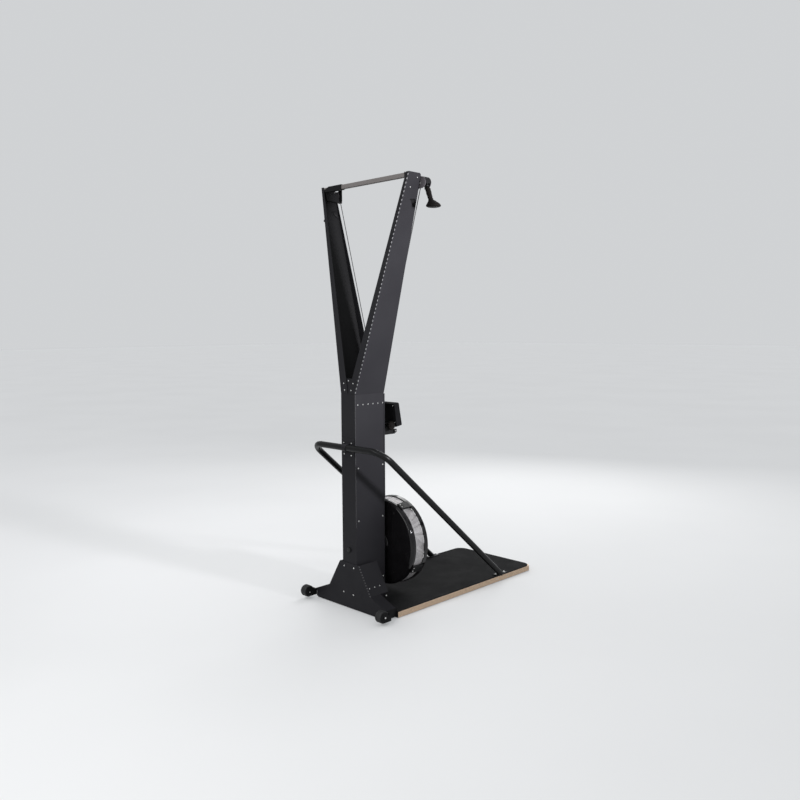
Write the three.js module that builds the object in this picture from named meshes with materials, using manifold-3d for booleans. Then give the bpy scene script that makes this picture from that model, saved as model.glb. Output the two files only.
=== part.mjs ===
// Ski trainer machine: a folded steel column with two leaning arms, a platform, a fan in a drum,
// and two handles on cords that run over pulleys at the arm tops down to spools on the fan's shaft.
// Millimetres. X is the width, +Y the back, +Z up. The group's origin is the middle of the footprint.
import * as THREE from 'three';
import Module from 'manifold-3d';
import { mergeVertices } from 'three/addons/utils/BufferGeometryUtils.js';

const wasm = await Module();
wasm.setup();

// Clearances that every sub-part shares
const gap = 0.3; // between pieces that rest on each other or turn in each other
const overrun = 5; // how far a cutting shape runs past the piece it cuts

// Column
const columnWidth = 105;
const columnDepth = 198;
const columnTop = 1097;
const sheet = 3;
const coverLip = 16;
const sleeveBelow = 97; // of the column's top
const sleeveAbove = 77;
const sleeveBottom = columnTop - sleeveBelow;
const sleeveTop = columnTop + sleeveAbove;
const hatHalfWidth = 23;
const hatDepth = 36;
const hatSheet = 2;
const hatShort = 9; // of the column's top
const hatTop = columnTop - hatShort;

// Arms
const machineHeight = 2158;
const armSpread = 319; // outer face at the top, from the middle
const armTopRear = 113; // how far the rear edge leans forward at the top
const armFront = 200;
const rearFlangeBottom = 52;
const rearFlangeTop = 18;
const frontFlangeBottom = 51;
const frontFlangeTop = 8;
const armCorner = 9;
const barHeight = 21;
const barDepth = 20;
const barDrop = 3;

// Platform and base
const platformWidth = 552;
const platformFront = 1183;
const platformRear = 70;
const cornerRadius = 35;
const stripHeight = 2.5;
const stripWidth = 30;
const stripInset = 61; // of each strip's middle from the board's edge
const stripPlace = platformWidth / 2 - stripInset;
const stripEnd = 40;
const boardThickness = 28;
const matThickness = 3.2;
const notchClearance = 1.5;
const baseSheet = 4;
const basePlateInset = 20;
const basePlateHalfWidth = platformWidth / 2 - basePlateInset;
const gussetTop = 238;
const gussetTopReach = 19.5; // beyond the column's side
const gussetTopHalf = columnWidth / 2 + gussetTopReach;
const gussetKneeHeight = 96;
const gussetEndHeight = 50;
const gussetEndInset = 14;
const gussetEndHalf = platformWidth / 2 - gussetEndInset;
const gussetKneeInset = 106;
const gussetKneeHalf = gussetEndHalf - gussetKneeInset;
const gussetFoot = 9;
const gussetFlange = 120;
const gussetEndFlange = 66;

// Transport wheels
const wheelRadius = 30;
const wheelBehind = 50;
const wheelHeight = 42;
const wheelWidth = 36;
const wheelBevel = 5;
const wheelRecess = 4;
const wheelRimWall = 8;
const wheelAxleRadius = 6;
const forkSheet = 3;
const forkRadius = 26;
const forkBridgeBehind = 8;
const wheelSideGap = 1;

// Brace tube
const tubeRadius = 16;
const braceHeight = 830;
const braceInset = 12; // of the tube's middle from the board's edge
const braceHalf = platformWidth / 2 - braceInset;
const braceBend = 80;
const braceFootFront = 905;
const footPlate = 5;
const footPlateLength = 92;
const footPlateWidth = 44;
const clampHalfWidth = 42;
const clampHalfHeight = 46;
const clampPlate = 3;
const strapHalfWidth = 14;
const strapSheet = 3;

// Fan drum
const fanHeight = 306;
const drumRadius = 227;
const hatClearance = 4; // over the drum
const hatBottom = fanHeight + drumRadius + hatClearance;
const dishShoulder = 51;
const dishFlatRadius = drumRadius - dishShoulder;
const dishDepth = 54;
const dishWall = 2.5;
const mouthRoom = 2; // round the column's channel, where the cords go into the drum
const meshWidth = 57;
const meshSheet = 1.2;
const meshInset = 1.6;
const frontRimStep = 4; // outside the dish
const frontRimRadius = drumRadius + frontRimStep;
const frontRimWidth = 34;
const frontWall = 3;
const frontVentInner = 46;
const frontVentEdge = 26;
const frontVentOuter = frontRimRadius - frontVentEdge;
const ventSplit = 122;
const ventRib = 8;
const ventCount = 12;
const clipWidth = 36;
const clipHeight = 7;
const clipEndLap = 8;
const clipAngles = [60, 120, 210, 330];
const fanTipRoom = 15;
const fanRadius = drumRadius - fanTipRoom;
const fanHubRadius = 30;
const bladeCount = 20;
const bladeSheet = 2;
const bladeInner = 120;
const fanBackSheet = 3;
const fanClearance = 5;
const shaftRadius = 8;
const bearingRadius = 21;
const bearingWidth = 11;
const bearingFlange = 28;
const bearingFlangeSheet = 3;
const capRadius = 13;
const capHeight = 8;
const shaftNutRadius = 12;
const shaftNutWidth = 7;

// Spools and the cords
const cordRadius = 2;
const cordPlay = 0.6; // room for a cord between two flanges
const bungeeRadius = 3;
const spoolPitch = 18;
const returnPitch = 14;
const spoolFlange = 1.2;
const spoolRim = 23;
const spoolRoom = 5; // behind the first spool
const spoolStart = columnDepth + spoolRoom;
const spoolGap = 0.8;
const guideRise = 33; // above the column's top
const guideHeight = columnTop + guideRise;
const guidePitch = 14;
const guideRim = 18.5;
const guidePinRadius = 5;
const guidePinTail = 9;
const guideFlange = 1.4;
const pinHeadRadius = 8;
const pinHeadHeight = 3;
const anchorDrop = 78; // below the channel's top
const anchorHeight = hatTop - anchorDrop;
const anchorThickness = 12;
const anchorOuter = 20;
const anchorWall = 6.5;
const anchorFinger = 6;

// Pulleys at the arm tops
const pulleyInset = 0.5; // of its pin from the arm's outer face
const pulleyAcross = armSpread - pulleyInset;
const pulleyDrop = 39; // below the arm's top
const pulleyHeight = machineHeight - pulleyDrop;
const pulleyForward = 21; // of the arm's front
const pulleyFront = armFront + pulleyForward;
const pulleyPitch = 18.5;
const pulleyRim = 22.5;
const pulleyWidth = 12;
const pulleyPinRadius = 5;
const bracketSheet = 3;
const bracketFrontGap = 14.7; // from the pulley's middle to the front plate
const bracketInnerReach = 62.5; // these lengths start at the pulley's pin
const bracketInner = pulleyAcross - bracketInnerReach;
const bracketWebReach = 34.5;
const bracketWebInner = pulleyAcross - bracketWebReach;
const bracketRise = 20;
const bracketTop = pulleyHeight + bracketRise;
const bracketFall = 30;
const bracketBottom = pulleyHeight - bracketFall;
const noseReach = 32.5;
const noseAcross = pulleyAcross + noseReach;
const noseFall = 7;
const noseHeight = pulleyHeight - noseFall;
const noseShoulderReach = 6.5;
const noseShoulder = pulleyAcross + noseShoulderReach;
const noseTuckReach = 13.5;
const noseTuck = pulleyAcross + noseTuckReach;
const noseTuckFall = 24;
const noseTuckHeight = pulleyHeight - noseTuckFall;
const frontNoseTrim = 12;

// Handles
const pullDrop = 12; // from the pulley's pin to where the cord meets its stop
const pullTop = pulleyHeight - pullDrop;
const stopRadius = 6.5;
const gripHeight = 96;
const gripReach = 40; // how far the grip's foot stands outward of the cord
const gripRadius = 12.5;
const flareRadius = 36;
const flareFoot = 28;

// Damper
const damperShare = 0.5; // of the circle that the damper's vents open
const damperInner = frontVentInner - ventRib;
const damperShort = 2; // of the vents' outer ring
const damperOuter = ventSplit - damperShort;
const damperSheet = 4;
const damperLeverReach = 30;
const damperLever = damperOuter + damperLeverReach;
const damperLeverWidth = 16;
const damperKnob = 14;

// Monitor
const monitorWidth = 120;
const monitorHeight = 124;
const monitorDepth = 34;
const monitorTilt = 9;
const monitorCorner = 8;
const monitorDrop = 13; // of the case's lower edge below the pivot
const pivotToCase = 25;
const screenWidth = 92;
const screenHeight = 66;
const screenSheet = 2;
const screenRise = 14; // of the screen's middle above the case's middle
const bezelStep = 1.5;
const buttonRadius = 6;
const buttonHeight = 4;
const buttonSocket = 6;
const buttonDrop = 41; // of the buttons below the case's middle
const buttonPitch = 24;
const buttonCount = 4;
const pivotForward = 24; // of the cord channel
const pivotFront = columnDepth + hatDepth + pivotForward;
const pivotHeight = 920;
const pivotRadius = 5;
const neckHalfWidth = 12;
const lugRadius = 10;
const lugSheet = 5;
const mountArmReach = 92;
const mountArmFront = columnDepth + hatDepth + mountArmReach;
const mountArmHeight = 24;
const mountArmDrop = 49; // below the pivot
const mountArmBottom = pivotHeight - mountArmDrop;
const mountArmChamfer = 15;
const mountPlateSheet = 4;
const mountPlateRise = 25;
const mountPlateTop = pivotHeight + mountPlateRise;
const knobRadius = 20;
const knobWidth = 14;
const knobReach = 20.7; // from the lug to the knob
const knobStart = neckHalfWidth + gap + lugSheet + knobReach;
const knobNeckRadius = 8;
const knobRibs = 12;
const knobRibRadius = 3;

// Finishes: colour, roughness and metalness
const finish = (name, color, roughness, metalness) =>
  new THREE.MeshStandardMaterial({ name, color, roughness, metalness });
const paint = finish('black_paint', 0x2b2d30, 0.55, 0.2);
const barPaint = finish('grey_paint', 0x686461, 0.5, 0.3);
const zinc = finish('zinc', 0xb9bcbe, 0.35, 0.9);
const plastic = finish('black_plastic', 0x1b1c1e, 0.45, 0);
const gloss = finish('gloss_plastic', 0x121315, 0.2, 0);
const rubber = finish('rubber', 0x1d1e1f, 0.9, 0);
const wood = finish('plywood', 0xc9a27f, 0.65, 0);
const matCover = finish('mat', 0x2a2b2c, 0.95, 0);
const meshSteel = finish('mesh_steel', 0x9c9c9c, 0.45, 0.7);
const alloy = finish('alloy', 0xa9acae, 0.4, 0.85);
const cordFabric = finish('cord', 0x202122, 0.85, 0);
const screenGlass = finish('screen', 0x2c3530, 0.15, 0);

// The middle of the footprint, between the wheels' backs and the platform's front
const middle = (platformFront - wheelBehind - wheelRadius) / 2;
const machine = new THREE.Group();
machine.position.y = middle;

const half = columnWidth / 2;
const full = 2 * Math.PI;
const degree = Math.PI / 180;
const roundSides = 20;
const wideSides = 48;
const tubeSides = 12;
const cordSides = 8;
const hexSides = 6;
const buttonSides = 16;
const ballSides = 12;
const ballRings = 8;

// A closed geometry as a solid with its faces pointing out
function solid(geometry) {
  const bare = geometry.clone();
  bare.deleteAttribute('normal');
  bare.deleteAttribute('uv');
  const merged = mergeVertices(bare);
  const index = Uint32Array.from(merged.index.array);
  const points = merged.attributes.position.array;
  const corner = (k) => new THREE.Vector3().fromArray(points, 3 * index[k]);
  let volume = 0;
  for (let k = 0; k < index.length; k += 3) {
    volume += corner(k).dot(corner(k + 1).cross(corner(k + 2)));
  }
  if (volume < 0) index.reverse();
  return new wasm.Manifold(
    new wasm.Mesh({ numProp: 3, vertProperties: Float32Array.from(points), triVerts: index }));
}

const join = (...pieces) => pieces.reduce((whole, piece) => whole.add(piece));
const cut = (whole, ...tools) => tools.reduce((left, tool) => left.subtract(tool), whole);

// Adds one named mesh to a group
function add(name, shape, material, parent = machine) {
  const found = shape.getMesh();
  const geometry = new THREE.BufferGeometry();
  geometry.setAttribute('position', new THREE.BufferAttribute(found.vertProperties, 3));
  geometry.setIndex(new THREE.BufferAttribute(found.triVerts, 1));
  geometry.computeVertexNormals();
  const mesh = new THREE.Mesh(geometry, material);
  mesh.name = name;
  parent.add(mesh);
  return mesh;
}

function box(x0, x1, y0, y1, z0, z1) {
  const shape = new THREE.BoxGeometry(Math.abs(x1 - x0), Math.abs(y1 - y0), Math.abs(z1 - z0));
  return solid(shape.translate((x0 + x1) / 2, (y0 + y1) / 2, (z0 + z1) / 2));
}

const shapeOf = (points) => new THREE.Shape(points.map(([a, b]) => new THREE.Vector2(a, b)));

// A cylinder along Y or X between two places, centred on the other two
function rodY(radius, y0, y1, x = 0, z = fanHeight, sides = roundSides) {
  const shape = new THREE.CylinderGeometry(radius, radius, Math.abs(y1 - y0), sides);
  return solid(shape.translate(x, (y0 + y1) / 2, z));
}

function rodX(radius, x0, x1, y, z, sides = roundSides) {
  const shape = new THREE.CylinderGeometry(radius, radius, Math.abs(x1 - x0), sides);
  return solid(shape.rotateZ(Math.PI / 2).translate((x0 + x1) / 2, y, z));
}

// A turned piece about Y: the profile is [radius, y] and closes on itself or ends on the axis
function turnY(profile, x = 0, z = fanHeight, sides = wideSides) {
  const closed = profile[0][0] > 0 ? [...profile, profile[0]] : profile;
  const points = closed.map(([r, y]) => new THREE.Vector2(r, y));
  return solid(new THREE.LatheGeometry(points, sides).translate(x, 0, z));
}

// Flat outlines pushed along an axis: XZ along Y, YZ along X
function slabXZ(points, y0, y1, options = {}) {
  const depth = Math.abs(y1 - y0);
  const shape = Array.isArray(points) ? shapeOf(points) : points;
  const body = new THREE.ExtrudeGeometry(shape, { depth, bevelEnabled: false, ...options });
  return solid(body.rotateX(Math.PI / 2).translate(0, Math.max(y0, y1), 0));
}

function slabYZ(points, x0, x1) {
  const depth = Math.abs(x1 - x0);
  const body = new THREE.ExtrudeGeometry(shapeOf(points), { depth, bevelEnabled: false });
  const turn = new THREE.Matrix4().makeBasis(
    new THREE.Vector3(0, 1, 0), new THREE.Vector3(0, 0, 1), new THREE.Vector3(1, 0, 0));
  return solid(body.applyMatrix4(turn).translate(Math.min(x0, x1), 0, 0));
}

function slabXY(shape, z0, z1) {
  const depth = z1 - z0;
  const body = new THREE.ExtrudeGeometry(shape, { depth, bevelEnabled: false, curveSegments: 8 });
  return solid(body.translate(0, 0, z0));
}

// A body whose outline, always with the same number of corners, changes with its height
function loft(levels) {
  const count = levels[0].outline.length;
  const flat = levels[0].outline.map(([x, y]) => new THREE.Vector2(x, y));
  const positions = levels.flatMap(({ z, outline }) => outline.flatMap(([x, y]) => [x, y, z]));
  const index = [];
  for (let level = 0; level + 1 < levels.length; level += 1) {
    for (let k = 0; k < count; k += 1) {
      const a = level * count + k;
      const b = level * count + ((k + 1) % count);
      index.push(a, b, b + count, a, b + count, a + count);
    }
  }
  const ends = THREE.ShapeUtils.triangulateShape(flat, []);
  const last = (levels.length - 1) * count;
  const forward = !THREE.ShapeUtils.isClockWise(flat);
  for (const [a, b, c] of ends) {
    index.push(...(forward ? [a, c, b] : [a, b, c]));
    index.push(...(forward ? [a + last, b + last, c + last] : [a + last, c + last, b + last]));
  }
  const geometry = new THREE.BufferGeometry();
  geometry.setAttribute('position', new THREE.Float32BufferAttribute(positions, 3));
  geometry.setIndex(index);
  return solid(geometry);
}

const at = (x, y, z) => new THREE.Vector3(x, y, z);
// A round bar along a list of points, its rings mitred at the bends
function bar(points, radius, sides) {
  const positions = [];
  const index = [];
  const normal = points[1].clone().sub(points[0]).cross(at(1, 0, 0)).normalize();
  points.forEach((point, k) => {
    const before = points[Math.max(k - 1, 0)];
    const after = points[Math.min(k + 1, points.length - 1)];
    const into = point.clone().sub(before).normalize();
    const out = after.clone().sub(point).normalize();
    const along = into.clone().add(out).normalize();
    const sideways = along.clone().cross(normal);
    const spread = radius / (k > 0 && k + 1 < points.length ? along.dot(out) : 1);
    for (let s = 0; s < sides; s += 1) {
      const turn = ((s + 0.5) / sides) * full;
      const place = point.clone()
        .addScaledVector(sideways, spread * Math.cos(turn))
        .addScaledVector(normal, radius * Math.sin(turn));
      positions.push(place.x, place.y, place.z);
    }
  });
  for (let k = 0; k + 1 < points.length; k += 1) {
    for (let s = 0; s < sides; s += 1) {
      const a = k * sides + s;
      const b = k * sides + ((s + 1) % sides);
      index.push(a, b, b + sides, a, b + sides, a + sides);
    }
  }
  const last = (points.length - 1) * sides;
  for (let s = 1; s + 1 < sides; s += 1) {
    index.push(0, s + 1, s, last, last + s, last + s + 1);
  }
  const geometry = new THREE.BufferGeometry();
  geometry.setAttribute('position', new THREE.Float32BufferAttribute(positions, 3));
  geometry.setIndex(index);
  return solid(geometry);
}
const mirror = (points) => points.map(([a, b]) => [-a, b]);
const bothSides = [['left', 1], ['right', -1]];

// Column: an open-fronted channel with return lips, and its bolted front cover
const baseTop = stripHeight + gap + baseSheet;
const columnFoot = baseTop + gap;
const coverFront = columnDepth;
const lipFront = columnDepth - sheet - gap;

function columnShell() {
  const outline = [
    [half, 0], [half, -lipFront], [half - coverLip, -lipFront], [half - coverLip, -lipFront + sheet],
    [half - sheet, -lipFront + sheet], [half - sheet, -sheet], [sheet - half, -sheet],
    [sheet - half, -lipFront + sheet], [coverLip - half, -lipFront + sheet],
    [coverLip - half, -lipFront], [-half, -lipFront], [-half, 0],
  ];
  const shell = loft([{ z: columnFoot, outline }, { z: columnTop, outline }]);
  return cut(shell, rodY(capRadius - sheet, -sheet - overrun, overrun));
}
add('column_shell', columnShell(), paint);

// The cover carries a narrow hat-shaped channel that hides the two cords and the bungees
function columnCover() {
  const plate = box(-half, half, -coverFront, -coverFront + sheet, columnFoot, columnTop);
  const hat = box(-hatHalfWidth, hatHalfWidth, -coverFront - hatDepth, -coverFront + sheet / 2,
    hatBottom, hatTop);
  const inside = box(hatSheet - hatHalfWidth, hatHalfWidth - hatSheet, -coverFront - hatDepth + hatSheet,
    -coverFront, hatBottom - overrun, hatTop + overrun);
  const bore = rodY(shaftRadius + 2 * gap, -coverFront - overrun, -coverFront + sheet + overrun);
  return cut(join(plate, hat), inside, bore);
}
add('column_front_cover', columnCover(), paint);

// Splice sleeve inside the column's top, which the arms are riveted to
const lean = armTopRear / (machineHeight - columnTop);
const rearAt = (z) => -lean * Math.max(z - columnTop, 0);
const outerAt = (z) => half + ((armSpread - half) * (z - columnTop)) / (machineHeight - columnTop);

function junctionSleeve() {
  const ring = (inset) => (z) => {
    const side = half - sheet - gap - inset;
    const rear = rearAt(z) - sheet - 2 * gap - inset;
    const front = -lipFront + sheet + gap + inset;
    return [[side, rear], [-side, rear], [-side, front], [side, front]];
  };
  const body = (inset, extra) => loft([sleeveBottom - extra, columnTop, sleeveTop + extra]
    .map((z) => ({ z, outline: ring(inset)(z) })));
  const shell = cut(body(0, 0), body(sheet, overrun));
  const pinHole = rodY(guidePinRadius + gap, -lipFront - overrun, -lipFront + guidePinTail, 0, guideHeight);
  return cut(shell, pinHole);
}
add('junction_sleeve', junctionSleeve(), paint);

// One arm: a tapering channel, open towards the middle
function arm(side) {
  const foot = columnTop + gap;
  const level = (z) => {
    const share = (z - columnTop) / (machineHeight - columnTop);
    const outer = outerAt(z);
    const rear = rearAt(z);
    const rearFlange = rearFlangeBottom + (rearFlangeTop - rearFlangeBottom) * share;
    const frontFlange = frontFlangeBottom + (frontFlangeTop - frontFlangeBottom) * share;
    const outline = [
      [outer, rear], [outer, -armFront], [outer - frontFlange, -armFront],
      [outer - frontFlange, -armFront + sheet], [outer - sheet, -armFront + sheet],
      [outer - sheet, rear - sheet], [outer - rearFlange, rear - sheet], [outer - rearFlange, rear],
    ];
    return { z, outline: side > 0 ? outline : mirror(outline) };
  };
  const corner = slabYZ([
    [-armFront - overrun, machineHeight + overrun], [-armFront - overrun, machineHeight - armCorner],
    [-armFront, machineHeight - armCorner], [-armFront + armCorner, machineHeight],
    [-armFront + armCorner, machineHeight + overrun],
  ], side * (armSpread + overrun), side * (armSpread - rearFlangeBottom));
  return cut(loft([level(foot), level(machineHeight)]), corner);
}

// Cross bar between the two arm tops, cut to the arms' lean
function crossBar() {
  const top = machineHeight - barDrop;
  const bottom = top - barHeight;
  const reach = (z) => outerAt(z) - sheet - gap;
  const back = rearAt(machineHeight) - sheet - gap;
  return slabXZ([[-reach(bottom), bottom], [reach(bottom), bottom], [reach(top), top], [-reach(top), top]],
    back, back - barDepth);
}
for (const [name, side] of bothSides) add(`${name}_arm`, arm(side), paint);
add('cross_bar', crossBar(), barPaint);

// Platform: two rubber strips, a plywood board and a rubber mat, notched round the column
const boardBottom = stripHeight + gap;
const boardTop = boardBottom + boardThickness;
const matTop = boardTop + gap + matThickness;

function platformOutline(inset) {
  const side = platformWidth / 2 - inset;
  const front = -platformFront + inset;
  const rear = -platformRear - inset;
  const round = cornerRadius - inset;
  const notchSide = half + notchClearance + inset;
  const notchFront = -coverFront - notchClearance - inset;
  const shape = new THREE.Shape();
  shape.moveTo(notchSide, rear);
  shape.lineTo(notchSide, notchFront);
  shape.lineTo(-notchSide, notchFront);
  shape.lineTo(-notchSide, rear);
  shape.lineTo(-side, rear);
  shape.lineTo(-side, front + round);
  shape.absarc(round - side, front + round, round, Math.PI, 1.5 * Math.PI, false);
  shape.lineTo(side - round, front);
  shape.absarc(side - round, front + round, round, 1.5 * Math.PI, full, false);
  shape.lineTo(side, rear);
  return shape;
}
add('platform_board', slabXY(platformOutline(0), boardBottom, boardTop), wood);
const matInset = 1;
add('platform_mat', slabXY(platformOutline(matInset), boardTop + gap, matTop), matCover);
for (const [name, side] of bothSides) {
  const strip = box(side * (stripPlace - stripWidth / 2), side * (stripPlace + stripWidth / 2),
    -platformFront + stripEnd, -stripEnd / 2, 0, stripHeight);
  add(`${name}_foot_strip`, strip, rubber);
}

// Base plate under the column, with a tongue forward under the cover
const basePlate = join(
  box(-basePlateHalfWidth, basePlateHalfWidth, -platformRear + 2 * gap, 0, boardBottom, baseTop),
  box(-half, half, -coverFront, 0, boardBottom, baseTop));
add('base_plate', basePlate, paint);

// Base gusset: a rear plate whose sloping edges fold forward as flanges
function gusset() {
  const outer = [
    [gussetTopHalf, gussetTop], [gussetKneeHalf, gussetKneeHeight], [gussetEndHalf, gussetEndHeight],
    [gussetEndHalf, gussetFoot],
  ];
  const inner = offset(outer, baseSheet);
  const plate = slabXZ([...outer, ...mirror(outer).reverse()], gap, gap + baseSheet);
  const pieces = [plate];
  const steep = [outer[0], outer[1], inner[1], inner[0]];
  const shallow = [outer[1], outer[2], inner[2], inner[1]];
  const end = [outer[2], outer[3], inner[3], inner[2]];
  const depths = [gussetFlange, gussetEndFlange, gussetEndFlange];
  [steep, shallow, end].forEach((outline, k) => {
    pieces.push(slabXZ(outline, gap + baseSheet, -depths[k]));
    pieces.push(slabXZ(mirror(outline), gap + baseSheet, -depths[k]));
  });
  return join(...pieces);
}

// A line moved inward by a sheet's thickness, its corners mitred
function offset(points, distance) {
  const normals = points.slice(1).map(([x, z], k) => {
    const [u, v] = [x - points[k][0], z - points[k][1]];
    const length = Math.hypot(u, v);
    return [v / length, -u / length];
  });
  return points.map(([x, z], k) => {
    const a = normals[Math.max(k - 1, 0)];
    const b = normals[Math.min(k, normals.length - 1)];
    const scale = distance / (1 + a[0] * b[0] + a[1] * b[1]);
    return [x + (a[0] + b[0]) * scale, z + (a[1] + b[1]) * scale];
  });
}
add('base_gusset', gusset(), paint);

// Transport wheels in forks bolted to the gusset's ends
const forkInner = gussetEndHalf + gap;
const wheelInner = forkInner + forkSheet + wheelSideGap;
const wheelOuter = wheelInner + wheelWidth;
const forkOuter = wheelOuter + wheelSideGap;

function wheel() {
  const halfWidth = wheelWidth / 2;
  const bore = wheelAxleRadius + gap;
  const boss = wheelAxleRadius + wheelRimWall;
  return turnY([
    [bore, -halfWidth], [boss, -halfWidth], [boss, wheelRecess - halfWidth],
    [wheelRadius - wheelRimWall, wheelRecess - halfWidth], [wheelRadius - wheelRimWall, -halfWidth],
    [wheelRadius - wheelBevel, -halfWidth], [wheelRadius, wheelBevel - halfWidth],
    [wheelRadius, halfWidth - wheelBevel], [wheelRadius - wheelBevel, halfWidth],
    [wheelRadius - wheelRimWall, halfWidth], [wheelRadius - wheelRimWall, halfWidth - wheelRecess],
    [boss, halfWidth - wheelRecess], [boss, halfWidth], [bore, halfWidth],
  ], 0, 0, roundSides);
}

function fork(side) {
  const outerEnd = forkOuter + forkSheet;
  const cheek = (x) => rodX(forkRadius, side * x, side * (x + forkSheet), wheelBehind, wheelHeight);
  const bottom = wheelHeight - forkRadius;
  const slab = (x0, x1, y0, y1) => box(side * x0, side * x1, y0, y1, bottom, gussetEndHeight);
  const innerTail = slab(forkInner, forkInner + forkSheet, gap - platformRear, wheelBehind);
  const outerTail = slab(forkOuter, outerEnd, forkBridgeBehind, wheelBehind);
  const bridge = slab(forkInner + forkSheet / 2, outerEnd - forkSheet / 2, forkBridgeBehind,
    forkBridgeBehind + forkSheet);
  const axle = rodX(wheelAxleRadius, side * (forkInner + forkSheet / 2), side * (outerEnd - forkSheet / 2),
    wheelBehind, wheelHeight);
  const head = rodX(wheelAxleRadius + forkSheet, side * (outerEnd - forkSheet / 2),
    side * (outerEnd + forkSheet), wheelBehind, wheelHeight, hexSides);
  return join(cheek(forkInner), cheek(forkOuter), innerTail, outerTail, bridge, axle, head);
}
for (const [name, side] of bothSides) {
  add(`${name}_wheel_fork`, fork(side), paint);
  const turned = add(`${name}_wheel`, wheel(), plastic);
  turned.rotation.z = Math.PI / 2;
  turned.position.set(side * (wheelInner + wheelWidth / 2), wheelBehind, wheelHeight);
}

// Brace tube: one bent tube round the back of the column and down to the platform's sides
const braceRear = clampPlate + 2 * gap + tubeRadius;
const footTop = matTop + gap + footPlate;

function brace() {
  const turnTop = at(0, braceRear, braceHeight);
  const footPoint = at(0, -braceFootFront, footTop - overrun);
  const down = footPoint.clone().sub(turnTop).normalize();
  const points = [];
  for (const side of [1, -1]) {
    const leg = [];
    leg.push(footPoint.clone().setX(side * braceHalf));
    const bendSteps = 6;
    for (let k = 0; k <= bendSteps; k += 1) {
      const turn = (k / bendSteps) * (Math.PI / 2);
      const across = braceHalf - braceBend * (1 - Math.cos(turn));
      const drop = braceBend * (1 - Math.sin(turn));
      leg.push(turnTop.clone().addScaledVector(down, drop).setX(side * across));
    }
    points.push(...(side > 0 ? leg : leg.reverse()));
  }
  const path = bar(points, tubeRadius, tubeSides);
  const below = box(-platformWidth, platformWidth, -platformFront, 0, -braceBend, footTop);
  const plates = [];
  for (const side of [1, -1]) {
    plates.push(box(side * (braceHalf - footPlateWidth / 2), side * (braceHalf + footPlateWidth / 4),
      -braceFootFront - footPlateLength / 2, -braceFootFront + footPlateLength / 2, matTop + gap, footTop));
  }
  return join(cut(path, below), ...plates);
}
add('brace_tube', brace(), paint);

// Clamp that holds the tube against the column's back
function clamp() {
  const plate = box(-clampHalfWidth, clampHalfWidth, gap, gap + clampPlate,
    braceHeight - clampHalfHeight, braceHeight + clampHalfHeight);
  const reach = tubeRadius + gap + strapSheet;
  const strap = rodX(reach, -strapHalfWidth, strapHalfWidth, braceRear, braceHeight);
  const throat = box(-strapHalfWidth, strapHalfWidth, gap, braceRear,
    braceHeight - reach, braceHeight + reach);
  const room = join(rodX(tubeRadius + gap, -clampHalfWidth, clampHalfWidth, braceRear, braceHeight),
    box(-clampHalfWidth, clampHalfWidth, gap + clampPlate, braceRear,
      braceHeight - tubeRadius - gap, braceHeight + tubeRadius + gap));
  const skin = cut(join(strap, throat), box(-clampHalfWidth, clampHalfWidth, -braceBend, gap,
    braceHeight - clampHalfHeight, braceHeight + clampHalfHeight));
  return cut(join(plate, skin), room);
}
add('brace_clamp', clamp(), paint);

// Fan drum: rear dish, silver mesh band, front cover and four clips across the band
const dishRear = coverFront + gap;
const dishFront = dishRear + dishDepth;
const meshRear = dishFront + gap;
const meshFront = meshRear + meshWidth;
const coverRear = meshFront + gap;
const drumFront = coverRear + frontRimWidth;
const shoulderShares = [[0.5, 0.09], [0.75, 0.27], [0.9, 0.54]]; // of the shoulder's width and of its depth

function dish() {
  const shoulder = drumRadius - dishFlatRadius;
  const profile = (inset) => [
    [dishFlatRadius - inset / 2, -dishRear - inset],
    ...shoulderShares.map(([outShare, deepShare]) => [dishFlatRadius + shoulder * outShare - inset,
      -dishRear - inset - dishDepth * deepShare]),
    [drumRadius - inset, -dishFront],
  ];
  const bore = shaftRadius + 2 * gap;
  const outline = [[bore, -dishRear], ...profile(0), ...profile(dishWall).reverse(),
    [bore, -dishRear - dishWall]];
  const mouthHalf = hatHalfWidth + mouthRoom;
  const mouth = box(-mouthHalf, mouthHalf, -dishRear - dishWall, -dishRear - hatDepth - mouthRoom,
    fanHeight + dishFlatRadius - overrun, fanHeight + drumRadius + overrun);
  return cut(turnY(outline), mouth);
}
add('fan_rear_dish', dish(), gloss);

const meshOuter = drumRadius - meshInset;
add('fan_mesh_band', turnY([[meshOuter - meshSheet, -meshRear], [meshOuter, -meshRear],
  [meshOuter, -meshFront], [meshOuter - meshSheet, -meshFront]]), meshSteel);

const hubBore = shaftRadius + 2 * gap;
const frontFace = drumFront - frontWall;

function fanCover() {
  const shell = turnY([
    [hubBore, -frontFace], [frontRimRadius - frontWall * 3, -frontFace],
    [frontRimRadius - frontWall, -frontFace + frontWall * 2], [frontRimRadius - frontWall, -coverRear],
    [frontRimRadius, -coverRear], [frontRimRadius, -drumFront + frontWall * 3],
    [frontRimRadius - frontWall * 3, -drumFront], [hubBore, -drumFront],
  ]);
  const vents = [
    ...sectors(frontVentInner, ventSplit - ventRib, ventCount, damperShare, -frontFace, -drumFront),
    ...sectors(ventSplit, frontVentOuter, 2 * ventCount, 1, -frontFace, -drumFront),
  ];
  return cut(shell, ...vents);
}

// Vent openings round the shaft that fill a share of the circle, less a rib between them
function sectors(inner, outer, count, share, rear, front) {
  const step = full / count;
  const edge = (radius, side) => (side * share * (step - ventRib / radius)) / 2;
  const corner = (radius, turn) => [radius * Math.cos(turn), fanHeight + radius * Math.sin(turn)];
  const openings = [];
  for (let k = 0; k < count; k += 1) {
    const turn = (k + 0.5) * step;
    const outline = [corner(inner, turn + edge(inner, -1)), corner(outer, turn + edge(outer, -1)),
      corner(outer, turn + edge(outer, 1)), corner(inner, turn + edge(inner, 1))];
    openings.push(slabXZ(outline, rear + overrun, front - overrun));
  }
  return openings;
}
add('fan_front_cover', fanCover(), gloss);

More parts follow.
